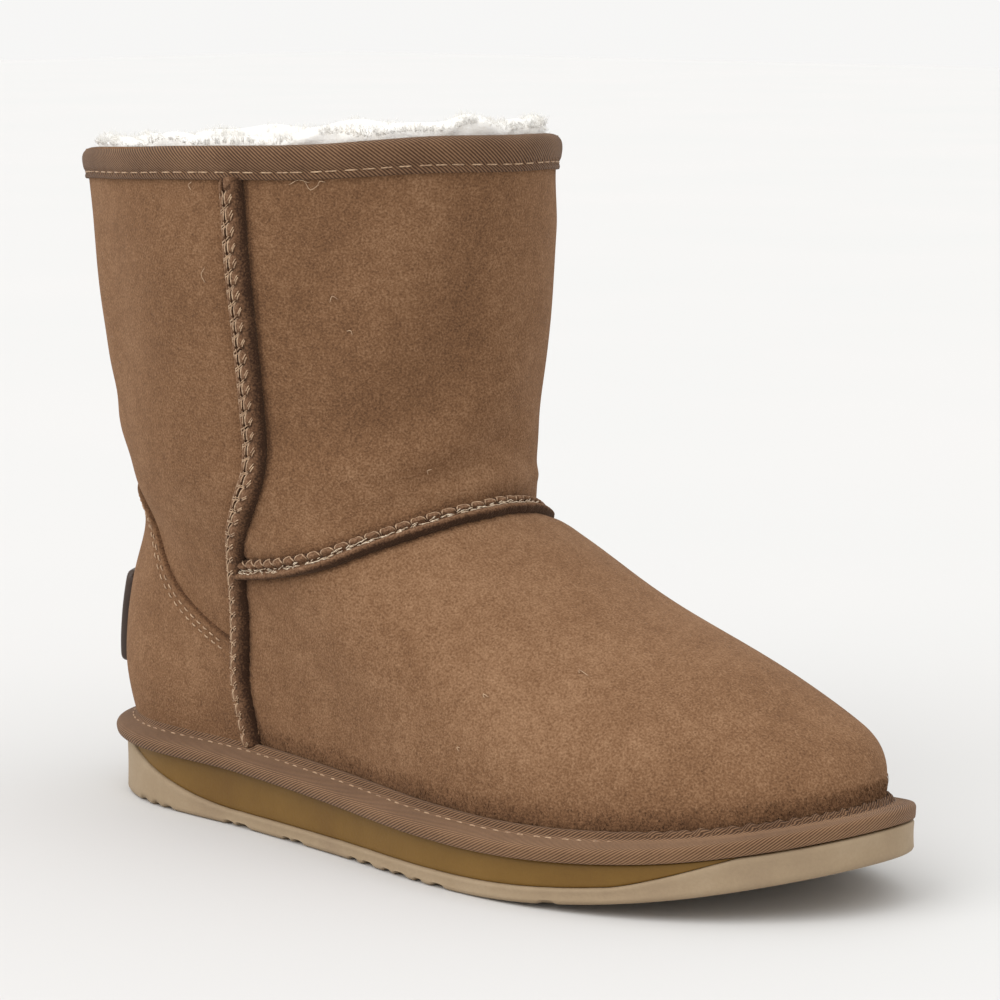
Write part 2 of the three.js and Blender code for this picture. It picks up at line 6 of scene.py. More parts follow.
import bpy
import numpy as np
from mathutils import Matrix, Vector


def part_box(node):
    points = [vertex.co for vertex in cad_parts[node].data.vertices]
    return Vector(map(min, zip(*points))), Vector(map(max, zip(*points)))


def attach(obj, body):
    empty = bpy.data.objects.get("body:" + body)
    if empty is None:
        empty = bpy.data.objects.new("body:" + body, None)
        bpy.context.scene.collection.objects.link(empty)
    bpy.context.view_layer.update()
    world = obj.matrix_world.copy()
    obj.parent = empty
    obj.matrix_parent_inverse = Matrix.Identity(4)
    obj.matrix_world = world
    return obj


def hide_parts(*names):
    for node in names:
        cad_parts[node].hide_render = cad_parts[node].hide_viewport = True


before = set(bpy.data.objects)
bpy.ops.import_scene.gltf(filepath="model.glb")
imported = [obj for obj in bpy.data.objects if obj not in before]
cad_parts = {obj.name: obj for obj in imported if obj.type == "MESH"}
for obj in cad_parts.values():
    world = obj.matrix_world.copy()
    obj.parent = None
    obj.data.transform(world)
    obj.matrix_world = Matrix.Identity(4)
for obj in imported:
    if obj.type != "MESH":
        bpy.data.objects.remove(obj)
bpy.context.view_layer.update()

MM = 0.001
WELD = 0.001
TURN = 2 * math.pi

# Driving sizes of the last and the sole
LENGTH = 274.0
BALL_WIDTH = 108.0
INSTEP_HEIGHT = 89.0
SHAFT_HEIGHT = 92.0
COLLAR_HEIGHT = INSTEP_HEIGHT + SHAFT_HEIGHT
HEEL_THICKNESS, BALL_THICKNESS, TOE_THICKNESS = 17.0, 13.0, 9.0
TOE_SPRING = 14.0
SPRING_FROM = 0.62
FOOT_INSET = 8.0
OUTLINE_POINTS = 60

# Walls, tapes and seams
WALL = 2.4
CLEARANCE = 0.3
INSOLE_THICKNESS = 6.0
FOOT_FLEECE, SHAFT_FLEECE = 5.0, 8.0
TAPE_THICKNESS = 1.4
COLLAR_TAPE_HEIGHT = 8.0
COLLAR_LOW_AT_BACK, COLLAR_HIGH_AT_FRONT = 5.0, 4.0
BINDING_HEIGHT = 7.4
BINDING_OVERHANG, BINDING_TOE_OVERHANG = 3.2, 0.4
SIDE_SEAM_WIDTH, VAMP_SEAM_WIDTH, SEAM_RISE = 6.5, 5.0, 2.8
COUNTER_THICKNESS = 1.6
LABEL_WIDTH, LABEL_HEIGHT, LABEL_CENTRE, LABEL_THICKNESS = 38.0, 28.0, 34.0, 2.2
LABEL_CORNER = 3.0
AGAINST_TAPE = WALL + 2 * CLEARANCE + TAPE_THICKNESS

# Stitches: pitches along the seams, how much wider the seams are drawn than their solids, and where the rows
# run, below the counter's edge, over the collar's edge and in the rows of BINDING_ROLL
SIDE_PITCH, VAMP_PITCH = 4.5, 4.5
SIDE_SPREAD, VAMP_SPREAD = 1.2, 1.15
VAMP_LEAN = 1.0
COUNTER_STITCH_ROWS = (2.4, 4.4)
COLLAR_STITCH_OVER = -5.9
BINDING_STITCH_ROW = 7.1

# Cloth: the twill's rib pitch, the suede's slackness, its puckers beside the seams and the contrast of its
# nap patches, which are partly painted highlight and painted shade
TWILL_PITCH = 1.05
SLACK_SIZE, SLACK_DEPTH = 46, 0.35
SEAM_TUCK = 1.1
PUCKER_DEPTH, PUCKERS_PER_SECTION, PUCKERS_ROUND = 0.16, 2.6, 62
NAP_AND_LIGHT_CONTRAST = 0.55

# A section's girth as a share of its depth from back to front, about which the marks are laid out
GIRTH_SHARE = 2.5

# How finely the pieces are cut: columns round the boot, rows, stations along the sole, and counts of fibres
UPPER_COLUMNS, UPPER_INNER_ROWS = 384, 30
COLLAR_COLUMNS, COLLAR_FOLD_ROWS = 420, 50
SOLE_TAPE_COLUMNS, SOLE_TAPE_ROWS = 480, 46
LINING_COLUMNS, LINING_OUTER_ROWS, LINING_RIM_ROWS, LINING_INNER_ROWS = 264, 24, 34, 112
OUTSOLE_STATIONS, PANEL_STATIONS = 420, 300
NAP_FIBRES, RIM_LOCKS, SHAFT_LOCKS = 6500, 3700, 2500

# The sole's side and its tread
LEDGE, PANEL_INSET = 4.8, 0.8
PANEL_ENDS = (0.075, 0.275, 0.81, 0.92)
PANEL_FROM, PANEL_LEVEL_FROM, PANEL_LEVEL_TO, PANEL_TO = (share * LENGTH for share in PANEL_ENDS)
LUG_DEPTH, LUG_GROOVE, LUG_WALL, LUG_PITCH, TREAD_MARGIN = 1.8, 4.0, 0.7, 13.0, 14.0
TREADS = ((TREAD_MARGIN, 0.28 * LENGTH), (0.4 * LENGTH, LENGTH - TREAD_MARGIN))

# The sole's outline from the heel's back along the outer side to the toe and back along the inner side:
# along as a share of the length, across as a share of half the ball width.
OUTLINE = np.array([
    (0.000, 0.00), (0.030, -0.42), (0.120, -0.69), (0.280, -0.76), (0.440, -0.86), (0.600, -0.99),
    (0.740, -0.97), (0.875, -0.72), (0.970, -0.26), (1.000, 0.18), (0.972, 0.56), (0.885, 0.84),
    (0.760, 0.97), (0.640, 0.95), (0.490, 0.80), (0.330, 0.69), (0.150, 0.68), (0.030, 0.42),
]) * (LENGTH, BALL_WIDTH / 2)

# Sections of the upper round the foot: height as a share of the instep height, back and front as shares of
# the length, outer and inner as shares of the ball width, round from the sole's form (0) to an ellipse (1).
FOOT_SECTIONS = np.array([
    (0.000, 0.020, 0.965, 0.417, 0.421, 0.00),
    (0.090, 0.008, 0.968, 0.435, 0.444, 0.00),
    (0.180, 0.000, 0.961, 0.440, 0.454, 0.05),
    (0.281, -0.005, 0.926, 0.435, 0.454, 0.10),
    (0.393, -0.003, 0.857, 0.426, 0.444, 0.20),
    (0.528, 0.005, 0.754, 0.417, 0.435, 0.40),
    (0.657, 0.013, 0.651, 0.417, 0.431, 0.60),
    (0.775, 0.018, 0.571, 0.426, 0.440, 0.80),
    (0.888, 0.017, 0.523, 0.440, 0.454, 0.95),
    (1.000, 0.012, 0.512, 0.454, 0.468, 1.00),
])
SHAFT_SECTIONS = np.array([
    (0.196, 0.003, 0.515, 0.472, 0.486, 1.00),
    (0.457, -0.011, 0.523, 0.500, 0.514, 1.00),
    (0.728, -0.023, 0.533, 0.519, 0.528, 1.00),
    (1.000, -0.036, 0.543, 0.528, 0.537, 1.00),
])
SIZES = (LENGTH, LENGTH, BALL_WIDTH, BALL_WIDTH, 1)
SECTIONS = np.vstack([
    FOOT_SECTIONS * (INSTEP_HEIGHT, *SIZES),
    SHAFT_SECTIONS * (SHAFT_HEIGHT, *SIZES) + (INSTEP_HEIGHT, 0, 0, 0, 0, 0),
])
TOP = len(SECTIONS) - 1

# Where the side seam runs, at each section from the second one up, as a share of the way round.
SIDE_SEAM = np.array([
    0.168, 0.169, 0.172, 0.181, 0.197, 0.218, 0.245, 0.275, 0.293, 0.297, 0.297, 0.294, 0.291,
])

# The vamp seam's section against its distance round from the instep's middle.
VAMP_SEAM = np.array([
    (0.000, 8.17), (0.050, 8.03), (0.085, 7.80), (0.117, 7.53), (0.148, 7.22), (0.180, 6.84), (0.213, 6.55),
    (0.248, 6.26), (0.290, 6.00),
])

# The counter's upper edge: its section from the heel's middle (0) to the side seam (1).
COUNTER_EDGE = np.array([
    (0.00, 8.10), (0.20, 8.02), (0.40, 7.68), (0.54, 7.00), (0.60, 6.35), (0.70, 5.50), (0.80, 4.90),
    (0.90, 4.45), (1.00, 4.10),
])

# Creases placed one by one on the upper. around and height (over the sole) are the crease's middle, turn is
# its direction in degrees up from level, long and wide are its half sizes in mm, bow bends it, and depth is
# out of the skin.
CREASES = np.array([
    # around, height, turn, long, wide, bow, depth
    (0.355, 142, 80, 34, 11, 3, -1.1),
    (0.395, 128, 72, 40, 13, -4, 1.0),
    (0.440, 118, 60, 30, 9, 4, -1.0),
    (0.470, 104, 35, 26, 7, 3, 0.9),
    (0.480, 93, 25, 26, 5, 3, -1.2),
    (0.330, 100, 20, 30, 8, 4, -0.8),
    (0.350, 88, 12, 34, 7, 5, 1.0),
    (0.375, 78, 22, 26, 4, 4, -0.7),
    (0.235, 150, 88, 34, 9, 0, 0.9),
    (0.165, 132, 84, 40, 12, 5, -1.1),
    (0.110, 118, 70, 34, 12, 4, 1.0),
    (0.150, 92, 15, 24, 8, -4, -0.9),
    (0.140, 76, -20, 22, 9, -6, 1.5),
    (0.040, 104, 8, 26, 6, -3, -0.9),
    (0.095, 67, 0, 44, 15, 0, -3.4),
    (0.100, 94, 0, 40, 12, 0, 1.1),
    (0.030, 118, 4, 28, 8, -3, 0.8),
    (0.255, 60, 70, 20, 9, 0, -0.5),
    (0.360, 52, 45, 30, 12, 6, -0.6),
    (0.430, 56, 20, 24, 6, 5, -0.6),
    (0.560, 58, -18, 26, 6, 5, 0.7),
    (0.590, 50, 150, 46, 20, 0, 1.2),
    (0.550, 35, 165, 52, 18, 0, 3.6),
    (0.615, 74.5, -14, 34, 5, 0, -3.4),
    (0.555, 16, 172, 34, 9, 0, 2.0),
    (0.465, 38, 12, 44, 17, 0, 1.0),
    (0.500, 66, 0, 24, 6, 4, 0.5),
    (0.645, 142, 100, 36, 12, -3, -0.5),
    (0.615, 128, 92, 80, 32, 0, 2.5),
    (0.550, 118, 125, 28, 8, -4, -0.6),
    (0.530, 95, 150, 26, 5, 3, -1.1),
    (0.660, 92, 165, 30, 8, 4, 0.9),
    (0.690, 80, 170, 24, 5, 4, -0.8),
    (0.765, 148, 92, 34, 10, 0, 0.8),
    (0.840, 126, 96, 38, 12, -4, -1.1),
    (0.900, 112, 108, 30, 11, -4, 0.9),
    (0.860, 80, 195, 22, 9, 6, 1.3),
    (0.660, 46, 135, 30, 11, 6, 0.5),
    (0.475, 118, 12, 16, 1.8, 2, -0.30),
    (0.490, 108, 15, 18, 1.7, -2, -0.26),
    (0.505, 128, 20, 14, 1.7, 2, -0.24),
    (0.455, 101, 8, 20, 1.8, 3, -0.28),
    (0.385, 60, 35, 16, 1.9, 2, -0.28),
    (0.392, 55, 40, 18, 1.7, -2, -0.24),
    (0.402, 62, 30, 12, 1.7, 1, -0.22),
    (0.350, 48, 50, 16, 1.9, 2, -0.20),
])

# Patches where the tone is lighter or darker: brushed nap marks, partly painted highlight and painted shade.
# The columns of CREASES, with the tone in place of the depth.
NAP_AND_LIGHT_PATCHES = np.array([
    (0.400, 150, 80, 40, 22, 0, 0.10),
    (0.430, 120, 60, 36, 16, 0, -0.16),
    (0.360, 112, 70, 26, 14, 6, -0.14),
    (0.340, 150, 60, 30, 12, 0, -0.12),
    (0.455, 150, 85, 40, 9, 0, -0.12),
    (0.230, 130, 88, 60, 10, 0, -0.12),
    (0.110, 130, 80, 50, 20, 0, 0.06),
    (0.320, 86, 20, 40, 10, 4, 0.06),
    (0.370, 55, 30, 60, 22, 8, 0.24),
    (0.300, 46, 60, 30, 16, 0, -0.06),
    (0.420, 34, 15, 60, 14, 6, 0.12),
    (0.330, 24, 5, 70, 8, 4, 0.06),
    (0.180, 30, 5, 40, 10, 0, 0.08),
    (0.640, 120, 100, 46, 20, 0, -0.12),
    (0.620, 52, 140, 60, 22, 8, 0.20),
    (0.860, 130, 92, 50, 20, 0, 0.08),
    (0.700, 26, 175, 70, 9, 4, -0.12),
])


def smoothstep(x, low, high):
    """Soft step from 0 at low to 1 at high."""
    share = np.clip((x - low) / (high - low), 0, 1)
    return share * share * (3 - 2 * share)


def mix(a, b, share):
    """A straight step from a at share 0 to b at share 1."""
    return a + (b - a) * share


def spline(rows, t, closed):
    """Catmull-Rom curve through rows of numbers at t counted in rows; past an end it goes on straight."""
    rows = np.asarray(rows, float)
    last = len(rows) - 1
    t = np.asarray(t, float)
    start = np.floor(t).astype(int) if closed else np.clip(np.floor(t), 0, last - 1).astype(int)
    f = np.clip(t - start, 0, 1)[..., None]
    over = (t - start)[..., None] - f

    def row(k):
        if closed:
            return rows[k % len(rows)]
        inside = np.where((k < 0)[..., None], 2 * rows[0] - rows[1], rows[np.clip(k, 0, last)])
        return np.where((k > last)[..., None], 2 * rows[last] - rows[last - 1], inside)

    a, b, c, d = row(start - 1), row(start), row(start + 1), row(start + 2)
    slope, slope_after, rise = (c - a) / 2, (d - b) / 2, c - b
    bend, twist = 3 * rise - 2 * slope - slope_after, slope + slope_after - 2 * rise
    return b + f * (slope + f * (bend + f * twist)) + over * np.where(over > 0, slope_after, slope)


def sole_outline(around, outset=0.0):
    """The sole's outline at shares of the way round, moved out along its own normal."""
    def at(share):
        return spline(OUTLINE, share * len(OUTLINE), True)

    nudge = 0.001
    around = np.asarray(around, float)
    run = at(around + nudge) - at(around - nudge)
    run /= np.linalg.norm(run, axis=-1, keepdims=True)
    outward = np.stack([run[..., 1], -run[..., 0]], -1)
    return at(around) + outward * np.asarray(outset, float)[..., None]


def sole_bottom(x):
    """Flat under the heel and the ball, rising as a parabola to the toe."""
    return TOE_SPRING * np.clip((x / LENGTH - SPRING_FROM) / (1 - SPRING_FROM), 0, None) ** 2


def sole_top(x):
    """The underside plus the sole's thickness, which thins in soft steps from heel to ball to toe."""
    behind = mix(HEEL_THICKNESS, BALL_THICKNESS, smoothstep(x / LENGTH, 0.22, 0.68))
    return sole_bottom(x) + mix(behind, TOE_THICKNESS, smoothstep(x / LENGTH, 0.6, 1))


def panel_bottom(x):
    """The border between the tan outsole and the olive panel: level on a ledge, up to the top at its ends."""
    full = sole_top(x) - sole_bottom(x)
    behind = np.clip((PANEL_LEVEL_FROM - x) / (PANEL_LEVEL_FROM - PANEL_FROM), 0, 1) ** 2
    before = np.clip((x - PANEL_LEVEL_TO) / (PANEL_TO - PANEL_LEVEL_TO), 0, 1) ** 1.5
    return sole_bottom(x) + mix(LEDGE, full, np.maximum(behind, before))


FOOT = sole_outline(np.arange(360) / 360, -FOOT_INSET)
FOOT_LOW, FOOT_HIGH = FOOT.min(0), FOOT.max(0)


def form(around, section):
    """The upper's outer form over the sole's top: each section mixes the sole's form and an ellipse."""
    around, section = np.broadcast_arrays(np.asarray(around, float), np.asarray(section, float))
    height, back, front, outer, inner, round_share = np.moveaxis(spline(SECTIONS, section, False), -1, 0)
    foot = sole_outline(around, -FOOT_INSET)
    cosine = np.cos(TURN * around)
    foot_x = (foot[..., 0] - FOOT_LOW[0]) / (FOOT_HIGH[0] - FOOT_LOW[0])
    foot_y = foot[..., 1] / np.where(foot[..., 1] < 0, -FOOT_LOW[1], FOOT_HIGH[1])
    along = mix(foot_x, (1 - cosine) / 2, round_share)
    across = mix(foot_y, -np.sin(TURN * around), round_share)
    x = mix(back, front, along)
    floor = mix(HEEL_THICKNESS, sole_top(x), np.clip(1 - height / INSTEP_HEIGHT, 0, 1)) + CLEARANCE
    up_shaft = np.clip((height - INSTEP_HEIGHT) / SHAFT_HEIGHT, 0, 1) ** 2
    tilt = np.where(cosine > 0, -COLLAR_LOW_AT_BACK, COLLAR_HIGH_AT_FRONT) * cosine ** 2
    return np.stack([x, across * np.where(across < 0, outer, inner), floor + height + up_shaft * tilt], -1)


def unit(vectors):
    """Vectors of length one along the given ones."""
    return vectors / np.maximum(np.linalg.norm(vectors, axis=-1, keepdims=True), 1e-9)


def bell(x, width):
    """1 at x = 0, falling on both sides as a Gauss curve of that width."""
    return np.exp(-(x / width) ** 2)


def read_column(table, x, column):
    """A column of a table at x, in straight steps between its rows, sorted by their first column."""
    return np.interp(x, table[:, 0], table[:, column])


def directions(around, section):
    """How the form's point moves with around and with section, and the outward normal."""
    nudge = 0.001
    low = np.maximum(section - nudge, 0)
    along = (form(around + nudge, section) - form(around - nudge, section)) / (2 * nudge)
    upward = (form(around, section + nudge) - form(around, low)) / (section + nudge - low)[..., None]
    return along, upward, unit(np.cross(along, upward))


def section_at(height):
    """The section that lies so many millimetres over the sole's top."""
    height = np.asarray(height, float)
    k = np.clip(np.searchsorted(SECTIONS[:, 0], height) - 1, 0, TOP - 1)
    return k + (height - SECTIONS[k, 0]) / (SECTIONS[k + 1, 0] - SECTIONS[k, 0])


def height_at(section):
    """How many millimetres a section lies over the sole's top."""
    return spline(SECTIONS, section, False)[..., 0]


def marks(table, around, section):
    """Sum of soft marks: each is a bell across its width and along its length, turned and bowed as listed."""
    height, back, front = np.moveaxis(spline(SECTIONS, section, False), -1, 0)[:3]
    girth = GIRTH_SHARE * (front - back)
    total = np.zeros(np.broadcast(around, section).shape)
    for middle, level, turn, long, wide, bow, depth in table:
        beside = ((around - middle + 0.5) % 1 - 0.5) * girth
        above = height - level
        cosine, sine = math.cos(math.radians(turn)), math.sin(math.radians(turn))
        run = beside * cosine + above * sine
        off = above * cosine - beside * sine - bow * (run / long) ** 2
        total += depth * bell(run, long) * bell(off, wide)
    return total


def waves(points, size, seed, count=10):
    """Soft random relief from -1 to 1: the mean of plane waves of about one wavelength, turned at random."""
    random = np.random.default_rng(seed)
    heading = unit(random.normal(size=(count, 3))) * TURN / (size * random.uniform(0.7, 1.4, (count, 1)))
    phase = random.uniform(0, TURN, count)
    return np.sin(points @ heading.T + phase).sum(-1) / math.sqrt(count)


def folds(around, section):
    """Depth of the listed creases and a soft random slackness, fading out at the sole and the collar."""
    height = height_at(section)
    fade = smoothstep(height, 8, 24) * smoothstep(COLLAR_HEIGHT - height, 8, 26)
    slack = waves(form(around, section), SLACK_SIZE, 3) * SLACK_DEPTH
    return (marks(CREASES, around, section) + slack) * fade


def surface(around, section, out=0.0):
    """A place on the dressed upper: the form moved along its normal by out and by the folds there."""
    around, section = np.broadcast_arrays(np.asarray(around, float), np.asarray(section, float))
    normal = directions(around, section)[2]
    return form(around, section) + normal * (out + folds(around, section))[..., None]


def side_seam_around(section):
    """Where the side seam runs at a section, as a share of the way round."""
    return spline(SIDE_SEAM[:, None], np.asarray(section, float) - 1, False)[..., 0]


def vamp_seam_section(around):
    """The section that the vamp seam runs at, the same on both sides of the instep."""
    return read_column(VAMP_SEAM, np.abs(around - 0.5), 1)


def step_on_skin(around, section, move):
    """Change in around and section that moves a point on the form by a vector lying in the skin."""
    along, upward, _ = directions(around, section)
    aa, au, uu = (along * along).sum(-1), (along * upward).sum(-1), (upward * upward).sum(-1)
    ma, mu = (move * along).sum(-1), (move * upward).sum(-1)
    scale = aa * uu - au * au
    return (ma * uu - mu * au) / scale, (mu * aa - ma * au) / scale


class Route:
    """A line on the upper through places (around, section): at(distance, beside) steps along and off it."""

    def __init__(self, around, section):
        self.around, self.section = np.asarray(around, float), np.asarray(section, float)
        steps = np.linalg.norm(np.diff(form(self.around, self.section), axis=0), axis=-1)
        self.far = np.concatenate([[0], np.cumsum(steps)])
        self.length = self.far[-1]

    def spot(self, distance):
        """The place on the line itself, kept within its ends."""
        distance = np.clip(distance, 0, self.length)
        return np.interp(distance, self.far, self.around), np.interp(distance, self.far, self.section)

    def at(self, distance, beside):
        """Places at a distance along the line and beside it, to the right of its run seen from outside."""
        distance, beside = np.broadcast_arrays(np.asarray(distance, float), np.asarray(beside, float))
        reach = np.clip(distance, 0, self.length)
        around, section = self.spot(reach)
        run = unit(form(*self.spot(reach + 1)) - form(*self.spot(reach - 1)))
        sideways = unit(np.cross(run, directions(around, section)[2]))
        move = step_on_skin(around, section, sideways * beside[..., None])
        return around + move[0], section + move[1]

    def place(self, distance, beside, out):
        """Points of the dressed upper at such places, so far out of the skin."""
        return surface(*self.at(distance, beside), out)


# Where the row's frame lies from the last's own origin: the outsole's low corner in both.
low_corner = np.array(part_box("outsole")[0]) / MM
SHIFT = np.append(low_corner[:2] - sole_outline(np.arange(OUTLINE_POINTS) / OUTLINE_POINTS).min(0), 0)


def welded(points, faces):
    """Joins points that coincide, splits the four-sided faces and drops those that this closes up.

    Gives back the points, the triangles and which of the given points were kept.
    """
    key = np.round(points / WELD).astype(np.int64)
    _, first, inverse = np.unique(key, axis=0, return_index=True, return_inverse=True)
    faces = inverse.reshape(-1)[faces]
    triangles = np.vstack([faces[:, [0, 1, 2]], faces[:, [0, 2, 3]]])
    open_ones = (triangles != np.roll(triangles, 1, axis=1)).all(1)
    return points[first], triangles[open_ones], first


def grid_faces(rows, columns, ring_rows, ring_columns):
    """Four-sided faces of a grid of points, and their corners' grid places, counted past a ring's end."""
    row_steps = np.arange(rows if ring_rows else rows - 1)
    column_steps = np.arange(columns if ring_columns else columns - 1)
    i, k = np.meshgrid(row_steps, column_steps, indexing="ij")
    corners = np.stack([np.stack([i + a, k + b], -1) for a, b in ((0, 0), (0, 1), (1, 1), (1, 0))], -2)
    corners = corners.reshape(-1, 4, 2)
    return (corners[..., 0] % rows) * columns + corners[..., 1] % columns, corners


def points_outward(points, faces):
    """Whether the faces point out of the solid, by the sign of its volume."""
    a, b, c = (points[faces[:, k]] for k in (0, 1, 2))
    volume = (a * np.cross(b, c)).sum()
    if faces.shape[1] == 4:
        d = points[faces[:, 3]]
        volume += (a * np.cross(c, d)).sum()
    return volume > 0


def piece(name, points, faces, material, slot, nodes=(), uv=None, tone=None):
    """Makes a mesh object of points in millimetres on the last, in its place in the row's frame."""
    if not points_outward(points, faces):
        faces = faces[:, ::-1]
        uv = None if uv is None else uv[:, ::-1]
    mesh = bpy.data.meshes.new(name)
    mesh.vertices.add(len(points))
    mesh.vertices.foreach_set("co", ((points + SHIFT) * MM).astype(np.float32).ravel())
    mesh.loops.add(faces.size)
    mesh.loops.foreach_set("vertex_index", faces.astype(np.int32).ravel())
    mesh.polygons.add(len(faces))
    mesh.polygons.foreach_set("loop_start", np.arange(0, faces.size, faces.shape[1], dtype=np.int32))
    mesh.polygons.foreach_set("use_smooth", np.ones(len(faces), bool))
    if uv is not None:
        layer = mesh.uv_layers.new(name="cloth")
        layer.data.foreach_set("uv", (uv * MM).astype(np.float32).ravel())
    # The nap attribute holds each point's tone: the nap's own marks together with painted light and shade.
    if tone is not None:
        shade = mesh.attributes.new("nap", "FLOAT", "POINT")
        shade.data.foreach_set("value", tone.astype(np.float32).ravel())
    mesh.update(calc_edges=True)
    mesh.validate()
    mesh.materials.append(material)
    made = bpy.data.objects.new(name, mesh)
    bpy.context.scene.collection.objects.link(made)
    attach(made, "root")
    if nodes:
        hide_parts(*nodes)
    return made


def ring_piece(name, rows, material, slot, nodes=(), weave=None, tone=None):
    """A hollow ring: rows of points round the boot, the last row joined to the first.

    weave maps it for cloth: how far the ribs' number counts along the ring and how far across it.
    """
    grid = np.stack(rows)
    faces, corners = grid_faces(*grid.shape[:2], True, True)
    uv = None
    if weave:
        round_steps = np.linalg.norm(np.roll(grid[0], -1, axis=0) - grid[0], axis=-1)
        row_steps = np.linalg.norm(np.roll(grid, -1, axis=0) - grid, axis=-1).mean(1)
        u = np.concatenate([[0], np.cumsum(round_steps)]) * weave[0]
        v = np.concatenate([[0], np.cumsum(row_steps)]) * weave[1]
        u *= round(u[-1] / TWILL_PITCH) * TWILL_PITCH / u[-1]
        uv = np.stack([u[corners[..., 1]], v[corners[..., 0]]], -1)
    shade = None if tone is None else np.broadcast_to(tone, grid.shape[:2]).reshape(-1)
    return piece(name, grid.reshape(-1, 3), faces, material, slot, nodes, uv, shade)


def tubes(paths, ups, radius, sides=6):
    """Round threads along many paths at once: a ring of points about each station of each path.

    Each ends in a point. paths and ups are arrays of threads, stations and x, y, z; radius has one number for
    each thread and station.
    """
    run = unit(np.gradient(paths, axis=1))
    side = unit(np.cross(run, ups))
    up = np.cross(side, run)
    angle = TURN * np.arange(sides) / sides
    ring = np.cos(angle)[:, None] * up[:, :, None] + np.sin(angle)[:, None] * side[:, :, None]
    points = paths[:, :, None] + ring * radius[:, :, None, None]
    count, stations = paths.shape[:2]
    faces, _ = grid_faces(stations, sides, False, True)
    each = faces[None] + (np.arange(count) * stations * sides)[:, None, None]
    return welded(points.reshape(-1, 3), each.reshape(-1, 4))[:2]


def thread_radius(count, stations, radius, blunt=0.12):
    """Full thickness along a thread, closing to nothing within a share of its ends."""
    share = np.linspace(0, 1, stations)
    ends = np.sqrt(np.clip(np.minimum(share, 1 - share) / blunt, 0, 1))
    return np.broadcast_to(ends * radius, (count, stations))


def joined(parts):
    """One list of points and faces from several."""
    points, faces, start = [], [], 0
    for part_points, part_faces in parts:
        points.append(part_points)
        faces.append(part_faces + start)
        start += len(part_points)
    return np.vstack(points), np.vstack(faces)


def closed_piece(name, grid, ring_rows, ring_columns, material, slot, nodes=(), tone=None):
    """A piece from a grid of points that closes on itself, with the points that meet there joined."""
    faces, _ = grid_faces(*grid.shape[:2], ring_rows, ring_columns)
    points, triangles, kept = welded(grid.reshape(-1, 3), faces)
    shade = None if tone is None else tone.reshape(-1)[kept]
    return piece(name, points, triangles, material, slot, nodes, tone=shade)


# Camera, as the photograph's: from the outer side and the front, a little over the collar
camera_data = bpy.data.cameras.new("camera")
camera_data.lens = 134.0
camera_data.clip_start = 0.05
camera = bpy.data.objects.new("camera", camera_data)
camera.location = (0.7155, -0.7760, 0.254)
CAMERA_AIM = Vector((0.0053, 0.0048, 0.098))
camera.rotation_euler = (CAMERA_AIM - camera.location).to_track_quat("-Z", "Y").to_euler()
bpy.context.scene.collection.objects.link(camera)
bpy.context.scene.camera = camera


def colour(text):
    """Linear colour from an sRGB hex value."""
    values = [int(text[k:k + 2], 16) / 255 for k in (1, 3, 5)]
    return tuple(v / 12.92 if v <= 0.04045 else ((v + 0.055) / 1.055) ** 2.4 for v in values) + (1.0,)


def add(tree, kind, inputs=None, output=0, stops=None, **settings):
    """Adds a node and gives back one of its output sockets.

    inputs are values or other nodes' sockets, stops a ramp's colours and settings the node's properties.
    """
    made = tree.nodes.new(kind)
    for key, value in settings.items():
        setattr(made, key, value)
    for socket, value in (inputs or {}).items():
        if isinstance(value, bpy.types.NodeSocket):
            tree.links.new(value, made.inputs[socket])
        else:
            made.inputs[socket].default_value = value
    if stops:
        ramp = made.color_ramp
        while len(ramp.elements) < len(stops):
            ramp.elements.new(0.5)
        for element, (position, text) in zip(ramp.elements, stops):
            element.position = position
            element.color = colour(text)
    return made.outputs[output]


def new_material(name):
    """An empty material with its node tree and the place on the object, in metres, that its patterns read."""
    made = bpy.data.materials.new(name)
    made.use_nodes = True
    return made, made.node_tree, add(made.node_tree, "ShaderNodeTexCoord", output="Object")


def finished(made, tone, stops, relief, strength, distance, numbers):
    """Ends a material: its colour is a ramp of the tone, its bump the relief, the rest plain numbers."""
    tree = made.node_tree
    shader = tree.nodes["Principled BSDF"]
    tree.links.new(add(tree, "ShaderNodeValToRGB", {"Fac": tone}, stops=stops), shader.inputs["Base Color"])
    bump = add(tree, "ShaderNodeBump", {"Height": relief, "Strength": strength, "Distance": distance})
    tree.links.new(bump, shader.inputs["Normal"])
    for socket, value in numbers.items():
        shader.inputs[socket].default_value = value
    return made


